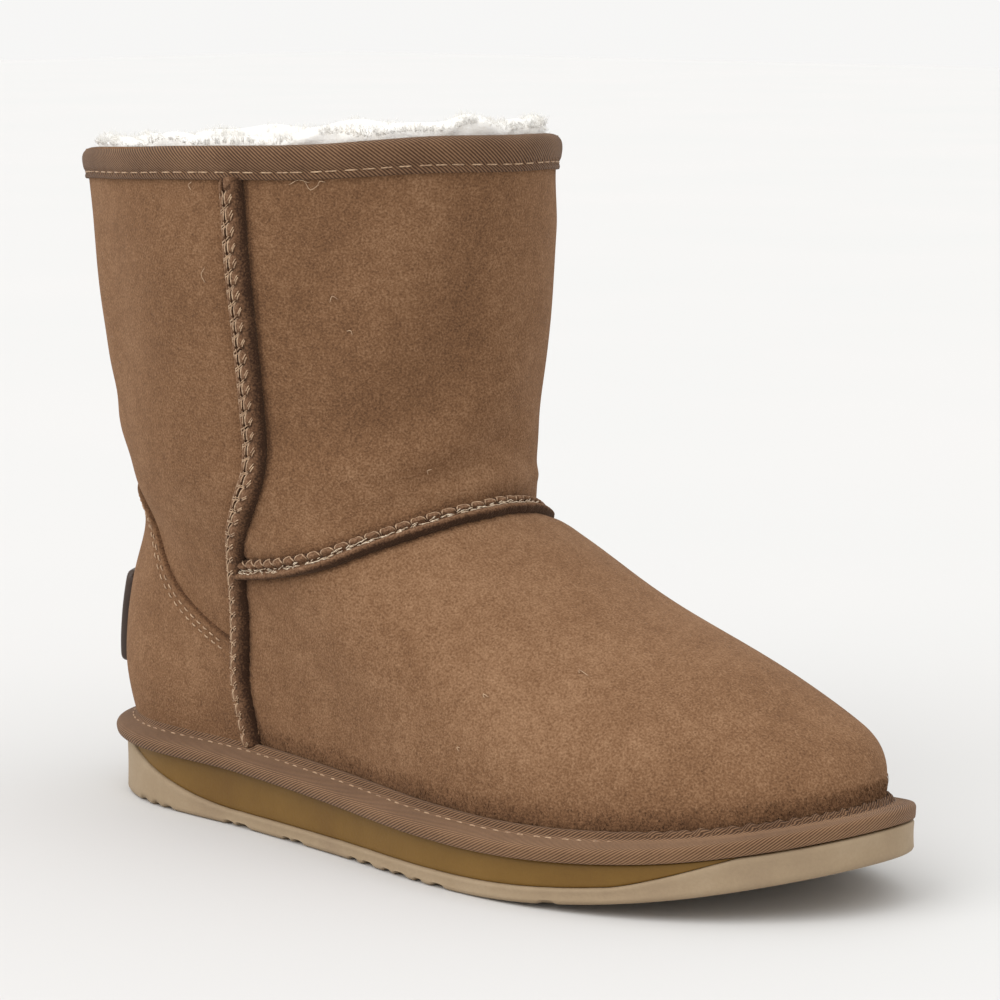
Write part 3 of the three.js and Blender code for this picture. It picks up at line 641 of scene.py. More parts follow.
def suede(name, dark, middle, light):
    """Brushed sheep suede: sheared nap, so no gloss, a fine pebbly grain, soft mottles and a pale edge.

    Clouds of 18 mm, mottles of 4 mm and a grain of 0.6 mm. A real grain is nearer 0.2 mm, which is too fine
    to show, so it is drawn coarser.
    """
    made, tree, place = new_material(name)
    clouds = add(tree, "ShaderNodeTexNoise", {"Vector": place, "Scale": 55, "Detail": 3, "Roughness": 0.5})
    mottles = add(tree, "ShaderNodeTexNoise", {"Vector": place, "Scale": 270, "Detail": 1, "Roughness": 0.5})
    grain = add(tree, "ShaderNodeTexNoise", {"Vector": place, "Scale": 1700, "Detail": 1, "Roughness": 0.5})
    # The nap attribute brings in the mesh's tone, painted highlight and painted shade among it.
    tone = add(tree, "ShaderNodeAttribute", output="Fac", attribute_name="nap")
    for layer, share in ((clouds, 0.36), (mottles, 0.28), (grain, 1.05)):
        centred = add(tree, "ShaderNodeMath", {0: layer, 1: 0.5}, operation="SUBTRACT")
        tone = add(tree, "ShaderNodeMath", {0: centred, 1: share, 2: tone}, operation="MULTIPLY_ADD")
    relief = add(tree, "ShaderNodeMath", {0: mottles, 1: 0.5, 2: grain}, operation="MULTIPLY_ADD")
    return finished(made, tone, [(0.0, dark), (0.45, middle), (0.9, light)], relief, 0.7, 0.0006, {
        "Roughness": 0.95,
        "Specular IOR Level": 0.1,
        "Sheen Weight": 0.19,
        "Sheen Roughness": 0.45,
        "Sheen Tint": colour("#dab391"),
    })


def twill_tape():
    """Woven twill tape: slanting ribs of warp threads with a shadow between them, slightly faded and fuzzy.

    The ribs stand TWILL_PITCH apart on the piece's own map, with a fuzz of 0.7 mm and faded areas of 17 mm.
    """
    made, tree, place = new_material("woven_twill_tape")
    cloth = add(tree, "ShaderNodeUVMap", uv_map="cloth")
    along = add(tree, "ShaderNodeSeparateXYZ", {0: cloth})
    slanted = add(tree, "ShaderNodeMath", {0: along, 1: along.node.outputs[1]}, operation="SUBTRACT")
    turns = add(tree, "ShaderNodeMath", {0: slanted, 1: TURN / (TWILL_PITCH * MM)}, operation="MULTIPLY")
    wave = add(tree, "ShaderNodeMath", {0: turns}, operation="SINE")
    rib = add(tree, "ShaderNodeMath", {0: wave, 1: 0.5, 2: 0.5}, operation="MULTIPLY_ADD")
    fuzz = add(tree, "ShaderNodeTexNoise", {"Vector": place, "Scale": 1400, "Detail": 2})
    fade = add(tree, "ShaderNodeTexNoise", {"Vector": place, "Scale": 60, "Detail": 4})
    # The nap attribute brings in the tape's tone, with painted highlight and painted shade round the toe.
    nap = add(tree, "ShaderNodeAttribute", output="Fac", attribute_name="nap")
    tone = add(tree, "ShaderNodeMath", {0: nap, 1: 0.235}, operation="SUBTRACT")
    for layer, share in ((rib, 0.73), (fuzz, 0.35), (fade, 0.45)):
        tone = add(tree, "ShaderNodeMath", {0: layer, 1: share, 2: tone}, operation="MULTIPLY_ADD")
    relief = add(tree, "ShaderNodeMath", {0: fuzz, 1: 0.5, 2: rib}, operation="MULTIPLY_ADD")
    stops = [(0.1, "#442f20"), (0.5, "#6b4e38"), (0.9, "#917053")]
    numbers = {"Roughness": 0.85, "Specular IOR Level": 0.2, "Sheen Weight": 0.06}
    return finished(made, tone, stops, relief, 0.6, 0.0004, numbers)


def foam(name, dark, middle, light, speck, roughness):
    """Moulded EVA foam: an even satin skin with mottling of 22 mm and fine pits of 0.9 mm."""
    made, tree, place = new_material(name)
    mottle = add(tree, "ShaderNodeTexNoise", {"Vector": place, "Scale": 45, "Detail": 5, "Roughness": 0.6})
    pits = add(tree, "ShaderNodeTexNoise", {"Vector": place, "Scale": 1100, "Detail": 2})
    tone = add(tree, "ShaderNodeMath", {0: pits, 1: speck, 2: mottle}, operation="MULTIPLY_ADD")
    tone = add(tree, "ShaderNodeMath", {0: tone, 1: speck / 2}, operation="SUBTRACT")
    numbers = {"Roughness": roughness, "Specular IOR Level": 0.3}
    return finished(made, tone, [(0.2, dark), (0.5, middle), (0.85, light)], pits, 0.3, 0.0003, numbers)


def sheep_fleece():
    """Sheepskin wool: matt cream fibres with a soft sheen, a little yellower in patches.

    Lumps of 6 mm and fibres of 0.7 mm: a wool fibre is 0.03 mm, so the fibres are drawn as fine bundles.
    """
    made, tree, place = new_material("sheepskin_fleece")
    lumps = add(tree, "ShaderNodeTexNoise", {"Vector": place, "Scale": 170, "Detail": 4, "Roughness": 0.6})
    fibres = add(tree, "ShaderNodeTexNoise", {"Vector": place, "Scale": 1500, "Detail": 3})
    tone = add(tree, "ShaderNodeMath", {0: fibres, 1: 0.5, 2: lumps}, operation="MULTIPLY_ADD")
    stops = [(0.3, "#eee6da"), (0.65, "#f8f5ef"), (1.0, "#fffefc")]
    numbers = {"Roughness": 1.0, "Specular IOR Level": 0.1, "Sheen Weight": 0.4}
    return finished(made, tone, stops, tone, 0.35, 0.0012, numbers)


def spun_thread(name, dark, light):
    """Spun polyester sewing thread: a soft sheen, and a twist of about 1 mm."""
    made, tree, place = new_material(name)
    twist = add(tree, "ShaderNodeTexNoise", {"Vector": place, "Scale": 900, "Detail": 2})
    return finished(made, twist, [(0.3, dark), (0.7, light)], twist, 0.3, 0.0002, {"Roughness": 0.6})


def patch_leather():
    """Finished leather of the heel patch: a dark coat with pores of 0.9 mm and a dull satin gloss."""
    made, tree, place = new_material("dark_patch_leather")
    cells = add(tree, "ShaderNodeTexVoronoi", {"Vector": place, "Scale": 1100}, "Distance", feature="F1")
    wear = add(tree, "ShaderNodeTexNoise", {"Vector": place, "Scale": 120, "Detail": 4})
    stops = [(0.25, "#2a1d15"), (0.6, "#3d2b20"), (0.9, "#54402f")]
    return finished(made, wear, stops, cells, 0.4, 0.0002, {"Roughness": 0.5})


SUEDE = suede("brushed_suede", "#533a29", "#7a593f", "#9b795c")
SEAM_SUEDE = suede("seam_suede", "#3c2a1f", "#6b4e39", "#93735a")
TWILL = twill_tape()
TAN_FOAM = foam("tan_eva_foam", "#8f7a62", "#9c876c", "#a9957b", speck=0.22, roughness=0.65)
OLIVE_FOAM = foam("olive_eva_foam", "#68491a", "#72531f", "#7c5c27", speck=0.15, roughness=0.55)
FLEECE = sheep_fleece()
THREAD = spun_thread("tan_thread", "#94745a", "#c9aa89")
CREAM_THREAD = spun_thread("cream_thread", "#a98b6c", "#ecdcc4")
PATCH = patch_leather()


def off_seams(around, section):
    """Distance in millimetres from the nearer side seam, and from the vamp seam between them, up the skin."""
    along, upward, _ = directions(around, section)
    nearer = np.minimum(around, 1 - around)
    side = (nearer - side_seam_around(section)) * np.linalg.norm(along, axis=-1)
    vamp = (section - vamp_seam_section(around)) * np.linalg.norm(upward, axis=-1)
    return side, np.where(side > 0, vamp, 1e3)


def upper():
    """Suede shell: the surface tucked in along the seams with small puckers, closed by a plain inner wall.

    Its rows stand closest between the tape and the vamp seam. The nap is darker in the seams' shadows.
    """
    around = np.arange(UPPER_COLUMNS) / UPPER_COLUMNS
    levels = np.concatenate([np.linspace(0, 2, 14)[:-1], np.linspace(2, 9, 96)[:-1], np.linspace(9, TOP, 60)])
    t, s = np.meshgrid(around, levels)
    side, vamp = off_seams(t, s)
    tuck = -SEAM_TUCK * (bell(side, 4.5) + bell(vamp, 4.0))
    puckers = np.cos(TURN * s * PUCKERS_PER_SECTION) * bell(side, 7)
    puckers += np.cos(TURN * t * PUCKERS_ROUND) * bell(vamp, 7)
    bulge = 0.9 * bell(vamp - 8, 6) + 0.5 * bell(vamp + 8, 6)
    outer = surface(t, s, tuck + PUCKER_DEPTH * puckers + bulge)
    inner = surface(around[None], np.linspace(TOP, 0, UPPER_INNER_ROWS)[:, None], -WALL)
    for foot in (outer[0], inner[-1]):
        foot[:, 2] = sole_top(foot[:, 0]) + CLEARANCE
    # The nap patches bring in painted highlight and painted shade as well as brushed nap marks.
    shade = 0.47 + NAP_AND_LIGHT_CONTRAST * marks(NAP_AND_LIGHT_PATCHES, t, s)
    # Painted shade beside the seams, and painted shadow in the groove on each side seam's toe side and on
    # both sides of the vamp seam.
    shade -= 0.12 * bell(side, 7) + 0.08 * bell(vamp, 6)
    shade -= 0.36 * bell(side - 4.5, 0.8) + 0.40 * bell(vamp + 3.4, 0.8) + 0.20 * bell(vamp - 3.2, 1.0)
    # Painted shadow in a band where the suede meets the sole tape.
    shade -= 0.22 * bell(height_at(s) - BINDING_HEIGHT - 0.1, 3.5)
    tone = np.vstack([shade, np.full(inner.shape[:2], 0.45)])
    ring_piece("suede_upper", [*outer, *inner], SUEDE, "suede", ["upper"], tone=tone)


def sheet_patch(name, around, section, out, back, material, slot, nodes=(), tone=None):
    """A closed sheet: a front at out over the skin and a back at a constant depth, joined at its border."""
    front = surface(around, section, out)
    rear = surface(around, section, back)
    rows, columns = around.shape
    border = np.ones(around.shape, bool)
    border[1:-1, 1:-1] = False
    rear[border] = front[border]
    faces, _ = grid_faces(rows, columns, False, False)
    points = np.vstack([front.reshape(-1, 3), rear.reshape(-1, 3)])
    both = np.vstack([faces, faces[:, ::-1] + rows * columns])
    points, triangles, kept = welded(points, both)
    shade = None if tone is None else np.concatenate([tone.reshape(-1), tone.reshape(-1)])[kept]
    return piece(name, points, triangles, material, slot, nodes, tone=shade)


def eased(count):
    """Rising numbers from 0 to 1, closer together near both ends."""
    t = np.linspace(0, 1, count)
    return mix(t, (1 - np.cos(math.pi * t)) / 2, 0.85)


def round_edge(distance, radius):
    """Height share of a rounded edge: a quarter circle over its radius."""
    inside = np.clip(distance / radius, 0, 1)
    return np.sqrt(1 - (1 - inside) ** 2)


def counter_edge(away):
    """The counter's edge, with the corners of its table rounded off by a short running mean."""
    nudges = np.linspace(-0.04, 0.04, 5)
    return sum(read_column(COUNTER_EDGE, np.abs(away + nudge), 1) for nudge in nudges) / len(nudges)


def heel_counter():
    """Overlay round the heel with a rounded cut edge, pressed in under its two rows of stitches."""
    lowest = section_at(BINDING_HEIGHT - 1.5)
    t, k = np.meshgrid(np.linspace(-1, 1, 161), eased(60))
    section = mix(lowest, counter_edge(t), k)
    around = t * side_seam_around(section)
    _, upward, _ = directions(around, section)
    below_edge = (counter_edge(t) - section) * np.linalg.norm(upward, axis=-1)
    rise = COUNTER_THICKNESS * round_edge(below_edge, 1.3)
    for row in COUNTER_STITCH_ROWS:
        rise = rise - 0.35 * bell(below_edge - row, 0.7)
    # The nap patches bring in painted highlight and painted shade here too.
    tone = 0.48 + NAP_AND_LIGHT_CONTRAST * marks(NAP_AND_LIGHT_PATCHES, around, section)
    # Painted shade towards the side seams, and painted shadow along the counter's edge where the shaft bulges
    # over it.
    tone -= 0.12 * bell(1 - np.abs(t), 0.1) + 0.35 * bell(below_edge, 0.7)
    out = np.maximum(rise, 0) - 0.1
    sheet_patch("heel_counter_suede", around % 1, section, out, -0.8, SUEDE, "suede", ["heel_counter"], tone)


def counter_stitches():
    """Two rows of short stitches that follow the counter's edge."""
    away = np.linspace(-0.985, 0.985, 160)
    section = counter_edge(away)
    route = Route(away * side_seam_around(section), section)
    parts = []
    for row, shift in zip(COUNTER_STITCH_ROWS, (0, 1.7)):
        over = COUNTER_THICKNESS - 0.1
        parts.append(stitch_row(route, row, pitch=3.2, length=2.1, over=over, radius=0.21, shift=shift))
    piece("counter_stitches", *joined(parts), THREAD, "seam_suede")


def stitch_row(route, beside, pitch, length, over, radius, shift):
    """A row of stitches beside a route: each dips in at its ends and bows up to half out of the skin."""
    count = int((route.length - shift) / pitch) - 1
    share = np.linspace(0, 1, 7)
    distance = shift + pitch * (np.arange(count)[:, None] + 0.5) + length * (share - 0.5)
    out = over + radius * (1.3 * np.sin(math.pi * share) - 0.9)
    around, section = route.at(distance, beside)
    paths = surface(around % 1, section, out)
    ups = directions(around % 1, section)[2]
    return tubes(paths, ups, thread_radius(count, len(share), radius))


def heel_label():
    """Plain leather patch: rounded corners and edges, a low cushion, and a pressed line inside its border."""
    half = np.array([LABEL_WIDTH, LABEL_HEIGHT]) / 2

    def past_corner(place):
        """How far a place lies past the middles of the corners' arcs, along both directions."""
        return np.sign(place) * np.clip(np.abs(place) - (half - LABEL_CORNER), 0, None)

    place = np.stack(np.meshgrid(eased(41) - 0.5, eased(33) - 0.5), -1) * (2 * half)
    past = past_corner(place)
    reach = np.linalg.norm(past, axis=-1, keepdims=True)
    place = place + past * (LABEL_CORNER / np.maximum(reach, LABEL_CORNER) - 1)
    from_arc = LABEL_CORNER - np.linalg.norm(past_corner(place), axis=-1)
    edge = np.clip(np.minimum((half - np.abs(place)).min(-1), from_arc), 0, None)
    section = section_at(LABEL_CENTRE + place[..., 1])
    around = place[..., 0] / np.linalg.norm(directions(np.zeros(section.shape), section)[0], axis=-1)
    rise = LABEL_THICKNESS * round_edge(edge, 1.2) - 0.3 * bell(edge - 2.6, 0.6)
    out = COUNTER_THICKNESS + np.maximum(rise, 0)
    back = COUNTER_THICKNESS - 0.6
    sheet_patch("heel_patch", around % 1, section, out, back, PATCH, "dark_leather", ["heel_label"])


def squeezed(distance, lean, across, pitch):
    """How hard a stitch pulls a seam in: 1 on its own line, which leans with the place across, down to 0."""
    return np.abs(np.cos(math.pi * (distance - lean * across) / pitch)) ** 7


def seam_body(name, route, width, profile, painted_light_tones, pitch, slant, nodes):
    """A raised seam: its profile carried along the route, pulled in where each stitch passes over it.

    The profile's columns are place across (-1 to 1), height as a share of the rise, and how far a stitch
    pulls it in. The pulls lie on lines that lean by slant millimetres from the seam's middle to its edge.
    """
    distance = np.linspace(0, route.length, int(route.length / 0.5))[:, None]
    across, rise, pull = spline(profile, np.linspace(0, len(profile) - 1, 27), False).T
    squeeze = squeezed(distance, slant(distance), across, pitch)
    out = np.maximum(rise, 0) * (1 - squeeze * pull)
    top = route.place(distance, across * width / 2, out * SEAM_RISE)
    under = route.place(distance, across[::-4] * width / 2, -0.8)
    loop = np.concatenate([top, under], 1)
    loop[[0, -1]] = loop[[0, -1]].mean(1, keepdims=True)
    tone = np.full(loop.shape[:2], 0.2)
    # The seam's tone is painted light and shade across it from the table, less painted shade in the pinch
    # under each stitch.
    tone[:, :len(across)] = read_column(painted_light_tones, across, 1) - 0.40 * squeeze * (pull > 0.15)
    closed_piece(name, loop, False, True, SEAM_SUEDE, "seam_suede", nodes, tone)


# The side seam across its width, from its heel side to its toe side: puffs, a groove and a smooth roll.
SIDE_PROFILE = np.array([
    # across, height, pull
    (-1.00, 0.00, 0.00),
    (-0.93, 0.34, 0.40),
    (-0.80, 0.60, 0.50),
    (-0.64, 0.66, 0.50),
    (-0.50, 0.40, 0.20),
    (-0.38, 0.60, 0.40),
    (-0.20, 0.90, 0.46),
    (0.04, 1.00, 0.30),
    (0.30, 1.00, 0.14),
    (0.56, 0.92, 0.06),
    (0.78, 0.70, 0.00),
    (0.93, 0.36, 0.00),
    (1.00, 0.00, 0.00),
])
# Painted light and shade across the side seam: lighter on the puffs and the roll's top, painted shade in the
# groove and on the toe side flank.
SIDE_PAINTED_LIGHT = np.array([
    # across, tone
    (-1.00, 0.50),
    (-0.64, 0.66),
    (-0.50, -0.10),
    (-0.36, 0.60),
    (0.00, 0.62),
    (0.30, 0.45),
    (0.60, 0.28),
    (1.00, -0.05),
])

# The vamp seam across its width, from its shaft side to its toe side, in the same way.
VAMP_PROFILE = np.array([
    # across, height, pull
    (-1.00, 0.00, 0.00),
    (-0.93, 0.34, 0.60),
    (-0.78, 0.66, 0.66),
    (-0.56, 0.84, 0.60),
    (-0.36, 0.78, 0.54),
    (-0.18, 0.52, 0.30),
    (0.00, 0.42, 0.00),
    (0.14, 0.62, 0.00),
    (0.34, 0.90, 0.00),
    (0.58, 1.00, 0.06),
    (0.82, 0.84, 0.16),
    (0.95, 0.44, 0.20),
    (1.00, 0.00, 0.00),
])
# Painted light and shade across the vamp seam: lighter on the puffs and the roll's top, painted shade in the
# groove and on the roll's lower side.
VAMP_PAINTED_LIGHT = np.array([
    # across, tone
    (-1.00, 0.30),
    (-0.56, 0.66),
    (-0.10, 0.30),
    (0.40, 0.62),
    (0.70, 0.30),
    (1.00, -0.25),
])


def side_route(mirrored):
    """Up the side from just inside the sole's binding to just inside the collar's."""
    low, high = section_at(BINDING_HEIGHT - 1.5), section_at(COLLAR_HEIGHT - COLLAR_TAPE_HEIGHT + 1)
    section = np.linspace(low, high, 200)
    around = side_seam_around(section)
    return Route(1 - around if mirrored else around, section)


def vamp_route():
    """Over the instep from one side seam to the other."""
    lowest = VAMP_SEAM[-1, 1]
    reach = 0.5 - side_seam_around(lowest)
    away = np.linspace(-reach, reach, 240)
    nudges = np.linspace(-0.012, 0.012, 5)
    section = sum(vamp_seam_section(0.5 + away + nudge) for nudge in nudges) / len(nudges)
    return Route(0.5 + away, section)


def low_on_shaft(distance):
    """1 on the lower part of a side seam, where the ladder of stitches is square and thick, to 0 above."""
    return 1 - smoothstep(distance, 45, 80)


def side_slant(distance):
    """The lower stitches cross a side seam squarely and the upper ones lean, as on a rope."""
    return 2.2 * (1 - low_on_shaft(distance))


def ladder_threads(route, sign):
    """Overlock thread on a side seam: edge thread, double rungs, two groove threads, short slanted pairs."""
    random = np.random.default_rng(11)
    half = SIDE_SEAM_WIDTH * SIDE_SPREAD / 2
    count = int(route.length / SIDE_PITCH)
    start = (np.arange(count)[:, None] + 0.02) * SIDE_PITCH
    share = np.linspace(0, 1, 9)
    layouts = (
        # across from and to, along from and to, radius, whether it leans with the pull, whether it is a rung
        (-1.00, -1.00, 0.0, SIDE_PITCH, 0.27, False, False),
        (-0.99, 0.16, -0.40, -0.15, 0.33, True, True),
        (-0.99, 0.12, 0.35, 0.50, 0.28, True, True),
        (-0.58, -0.58, 0.2, SIDE_PITCH - 0.1, 0.22, False, False),
        (-0.16, -0.16, 0.3, SIDE_PITCH - 0.1, 0.24, False, False),
        (0.12, 0.48, 0.1, 1.5, 0.20, True, False),
        (0.12, 0.44, 1.0, 2.2, 0.17, True, False),
    )
    parts = []
    for left, right, low, high, radius, leans, rung in layouts:
        jitter = random.uniform(-0.2, 0.2, (2, count, 1)) * (left > -1)
        if rung:
            right = mix(0.0, right, low_on_shaft(start))
            radius = radius * mix(0.72, 1, low_on_shaft(start))
        across = mix(left, right, share) + 0.12 * jitter[0] * np.sin(math.pi * share)
        distance = start + mix(low, high, share) + jitter[1]
        distance = distance + side_slant(distance) * across * leans
        pulled = squeezed(distance, side_slant(distance), across, SIDE_PITCH)
        height, pull = (read_column(SIDE_PROFILE, across, column) for column in (1, 2))
        lift = SEAM_RISE * height * (1 - pull * pulled) + 0.18
        parts.append(thread_on(route, distance, sign * across * half, lift, radius))
    return parts


def thread_on(route, distance, beside, out, radius):
    """Threads laid over a route: their distances along it, their places beside it and their heights."""
    distance, beside, out = np.broadcast_arrays(distance, beside, out)
    around, section = route.at(distance, beside)
    paths = surface(around, section, out)
    ups = directions(around, section)[2]
    return tubes(paths, ups, thread_radius(*distance.shape, radius, 0.08), 5)


def side_seams():
    """Both side seams; the inner one is the outer one's mirror image."""
    for side, sign in (("outer", 1), ("inner", -1)):
        def slant(distance):
            return sign * side_slant(distance)

        route = side_route(side == "inner")
        profile = SIDE_PROFILE if sign > 0 else SIDE_PROFILE[::-1] * (-1, 1, 1)
        painted_light_tones = SIDE_PAINTED_LIGHT if sign > 0 else SIDE_PAINTED_LIGHT[::-1] * (-1, 1)
        node = "side_seam_" + side
        width = SIDE_SEAM_WIDTH * SIDE_SPREAD
        seam_body(node + "_suede", route, width, profile, painted_light_tones, SIDE_PITCH, slant, [node])
        piece(node + "_threads", *joined(ladder_threads(route, sign)), THREAD, "seam_suede")


def vamp_seam():
    """Puffs outlined by loops of thread, frayed cream thread in the groove below them, and a smooth roll."""
    def slant(distance):
        return np.full_like(distance, VAMP_LEAN)

    def height(across):
        return SEAM_RISE * read_column(VAMP_PROFILE, across, 1)

    route = vamp_route()
    width = VAMP_SEAM_WIDTH * VAMP_SPREAD
    seam_body("vamp_seam_suede", route, width, VAMP_PROFILE, VAMP_PAINTED_LIGHT, VAMP_PITCH, slant, ["vamp_seam"])
    random = np.random.default_rng(23)
    count = int(route.length / VAMP_PITCH)
    start = np.arange(count)[:, None] * VAMP_PITCH
    share = np.linspace(0, 1, 11)
    arch = np.sin(math.pi * share)
    loop_across = mix(-0.08, -1.0, arch ** 0.45)
    loop_out = height(loop_across) * mix(0.55, 1.0, arch) + 0.1
    distance = start + VAMP_PITCH * share + VAMP_LEAN * loop_across
    loops = thread_on(route, distance, loop_across * width / 2, loop_out, 0.21)
    piece("vamp_seam_loops", *loops, THREAD, "seam_suede")
    frayed = []
    for _ in range(7):
        begin = start + random.uniform(-2.0, 2.0, (count, 1))
        long = random.uniform(0.8, 2.6, (count, 1))
        across = random.uniform(-0.18, 0.20, (count, 1)) + random.uniform(-0.24, 0.24, (count, 1)) * share
        out = height(across) + 0.1 + random.uniform(0.1, 0.6, (count, 1)) * arch
        frayed.append(thread_on(route, begin + long * share, across * width / 2, out, 0.14))
    piece("vamp_seam_fray", *joined(frayed), CREAM_THREAD, "seam_suede")


# The collar tape's loop across: the outer leaf up to the rounded fold and down the inner leaf, then back up
# inside it. Each pair is how far out of the skin and how far over the collar's edge.
COLLAR_FOLD = np.array([
    (0.1, -7.9), (0.75, -8.0), (1.0, -7.7), (1.0, -7.0), (0.72, -6.3), (0.62, -5.9), (0.8, -5.4), (1.2, -4.6),
    (1.4, -3.4), (1.45, -2.0), (1.25, -0.7), (0.7, 0.4), (-0.2, 1.1), (-1.3, 1.4), (-2.4, 1.2), (-3.4, 0.5),
    (-4.0, -0.8), (-4.2, -2.6), (-4.2, -5.2), (-4.1, -7.2), (-3.9, -7.8), (-3.1, -7.8),
])
COLLAR_INSIDE = np.array([(-2.7, -7.4), (-2.7, -4.0), (-2.6, 0.15), (0.15, 0.15), (0.15, -3.0), (0.1, -6.8)])


def collar_over(around, over):
    """The section so far over the collar's edge, with the edge's own soft waviness."""
    wave = 0.7 * np.cos(TURN * 2 * (around - 0.37)) - 0.7 + 0.25 * np.sin(TURN * 7 * around + 2.0)
    return section_at(COLLAR_HEIGHT + over + wave * smoothstep(over, -14, -6))


def collar_binding():
    """Twill tape folded over the collar: the fold's loop carried round it, pressed in at the stitches."""
    around = np.arange(COLLAR_COLUMNS) / COLLAR_COLUMNS
    fold = spline(COLLAR_FOLD, np.linspace(0, len(COLLAR_FOLD) - 1, COLLAR_FOLD_ROWS), False)
    profile = np.vstack([fold, COLLAR_INSIDE])
    rows = []
    for out, over in profile:
        press = 0.18 * np.cos(TURN * around * 110) * bell(over - COLLAR_STITCH_OVER, 1.6) * (out > 0)
        rows.append(surface(around, collar_over(around, over), out + press))
    tone = np.where(profile[:, 1] < COLLAR_STITCH_OVER - 0.4, -0.17, -0.07)[:, None]
    ring_piece("collar_tape", rows, TWILL, "twill_tape", ["collar_binding"], (0.85, -1.1), tone)


def ring_stitches(name, place, up, pitch, length, radius):
    """Stitches round the boot: place(around) gives points on the tape and up(around) the way out of it."""
    around = np.arange(720) / 720
    ring = place(around)
    steps = np.linalg.norm(np.roll(ring, -1, axis=0) - ring, axis=-1)
    far = np.concatenate([[0], np.cumsum(steps)])
    count = int(far[-1] / pitch)
    pitch = far[-1] / count
    share = np.linspace(0, 1, 7)
    wander = np.random.default_rng(5).uniform(-0.12, 0.12, (count, 1)) * pitch
    distance = (np.arange(count)[:, None] + 0.5) * pitch + length * (share - 0.5) + wander
    at = np.interp(distance % far[-1], far, np.append(around, 1.0)) % 1
    lift = radius * (1.25 * np.sin(math.pi * share) - 0.75)
    ups = up(at)
    paths = place(at) + ups * lift[None, :, None]
    points, triangles = tubes(paths, ups, thread_radius(count, len(share), radius))
    piece(name, points, triangles, THREAD, "twill_tape")


def collar_stitches():
    """A row of stitches in the press of the outer leaf and one on the inner leaf behind it."""
    rows = (("collar_stitches", 0.68, COLLAR_STITCH_OVER), ("collar_stitches_inside", -4.15, -6.0))
    for name, out, over in rows:
        def place(around):
            return surface(around, collar_over(around, over), out)

        def up(around):
            return directions(around, collar_over(around, over))[2] * (1 if out > 0 else -1)

        ring_stitches(name, place, up, pitch=5.1, length=4.2, radius=0.23)


# The sole binding's outer side: outset from the sole's outline, height over the sole, and how far it has
# left the outline's form (0) for the upper's (1), where the outset counts from the skin.
BINDING_ROLL = np.array([
    # outset, height, on_skin
    (0.6, 0.0, 0.0),
    (1.9, 0.1, 0.0),
    (2.8, 0.8, 0.0),
    (3.2, 1.9, 0.0),
    (3.2, 3.1, 0.0),
    (2.8, 4.2, 0.10),
    (2.1, 4.9, 0.35),
    (1.4, 5.4, 0.65),
    (1.4, 6.0, 0.85),
    (1.6, 6.7, 0.95),
    (1.4, 7.2, 1.0),
    (0.9, 7.4, 1.0),
    (0.3, 7.2, 1.0),
    (0.0, 6.0, 1.0),
])


def overhang(x):
    """How far the sole binding stands out over the sole's edge: less and less towards the toe."""
    return mix(BINDING_OVERHANG, BINDING_TOE_OVERHANG, smoothstep(x / LENGTH, 0.45, 0.95))


def toe_share(around):
    """1 round the toe, where the binding's stitches sink in and its edge puckers, to 0 along the sides."""
    return smoothstep(0.5 - np.abs(around - 0.5), 0.33, 0.42)


def binding_point(around, outset, height, on_skin):
    """A point of the roll: mixed from the sole's outline moved out and the upper's skin moved out."""
    around = np.asarray(around, float)
    edge_share = overhang(sole_outline(around)[..., 0]) / BINDING_OVERHANG
    edge = sole_outline(around, outset * edge_share)
    low = np.concatenate([edge, (sole_top(edge[..., 0]) + CLEARANCE + height)[..., None]], -1)
    pucker = np.cos(TURN * around * 150) + 0.6 * np.cos(TURN * around * 97 + 1.0)
    scallop = 0.38 * pucker * toe_share(around) * (on_skin > 0.3)
    section = section_at(np.maximum(height + scallop * (on_skin > 0.9), 0.01))
    high = surface(around, section, outset + scallop * (on_skin < 0.9))
    return mix(low, high, on_skin)


def binding_row(place):
    """Numbers of the roll at a place counted in its rows."""
    return spline(BINDING_ROLL, np.asarray(place, float), False)


def sole_binding():
    """Twill tape round the foot: a loop of the roll and of a plain inner side, carried round the sole."""
    around = np.arange(SOLE_TAPE_COLUMNS) / SOLE_TAPE_COLUMNS
    places = np.linspace(0, len(BINDING_ROLL) - 1, SOLE_TAPE_ROWS)
    rows = [binding_point(around, *binding_row(place)) for place in places]
    for height in (5.0, 2.5, 0.0):
        rows.append(surface(around, section_at(height), -0.2))
    rows[-1][:, 2] = sole_top(rows[-1][:, 0]) + CLEARANCE
    valley, above_valley = slice(23, 27), slice(27, SOLE_TAPE_ROWS)
    # Tone: darker from the heel's back along the start of the outer side and on the band above the stitch
    # valley; round the toe, painted highlight on the valley's edge and painted shade on the lip above it.
    tone = np.zeros((len(rows), len(around)))
    tone += 0.12 * smoothstep(around, 0.05, 0.3)
    tone[above_valley] = -0.06 - 0.10 * toe_share(around)
    tone[valley] += 0.20 * toe_share(around)
    ring_piece("sole_tape", rows, TWILL, "twill_tape", ["sole_binding"], (0.7, 1.25), tone)


def sole_stitches():
    """Short stitches in the roll's valley, which sink into the tape round the toe."""
    def place(around):
        sink = (-0.8 * toe_share(around))[..., None]
        return binding_point(around, *binding_row(BINDING_STITCH_ROW)) + up(around) * sink

    def up(around):
        before = binding_point(around, *binding_row(BINDING_STITCH_ROW - 0.3))
        after = binding_point(around, *binding_row(BINDING_STITCH_ROW + 0.3))
        middle = binding_row(BINDING_STITCH_ROW)
        ahead, behind = binding_point(around + 0.001, *middle), binding_point(around - 0.001, *middle)
        return unit(np.cross(ahead - behind, after - before))

    ring_stitches("sole_stitches", place, up, pitch=4.4, length=2.5, radius=0.22)


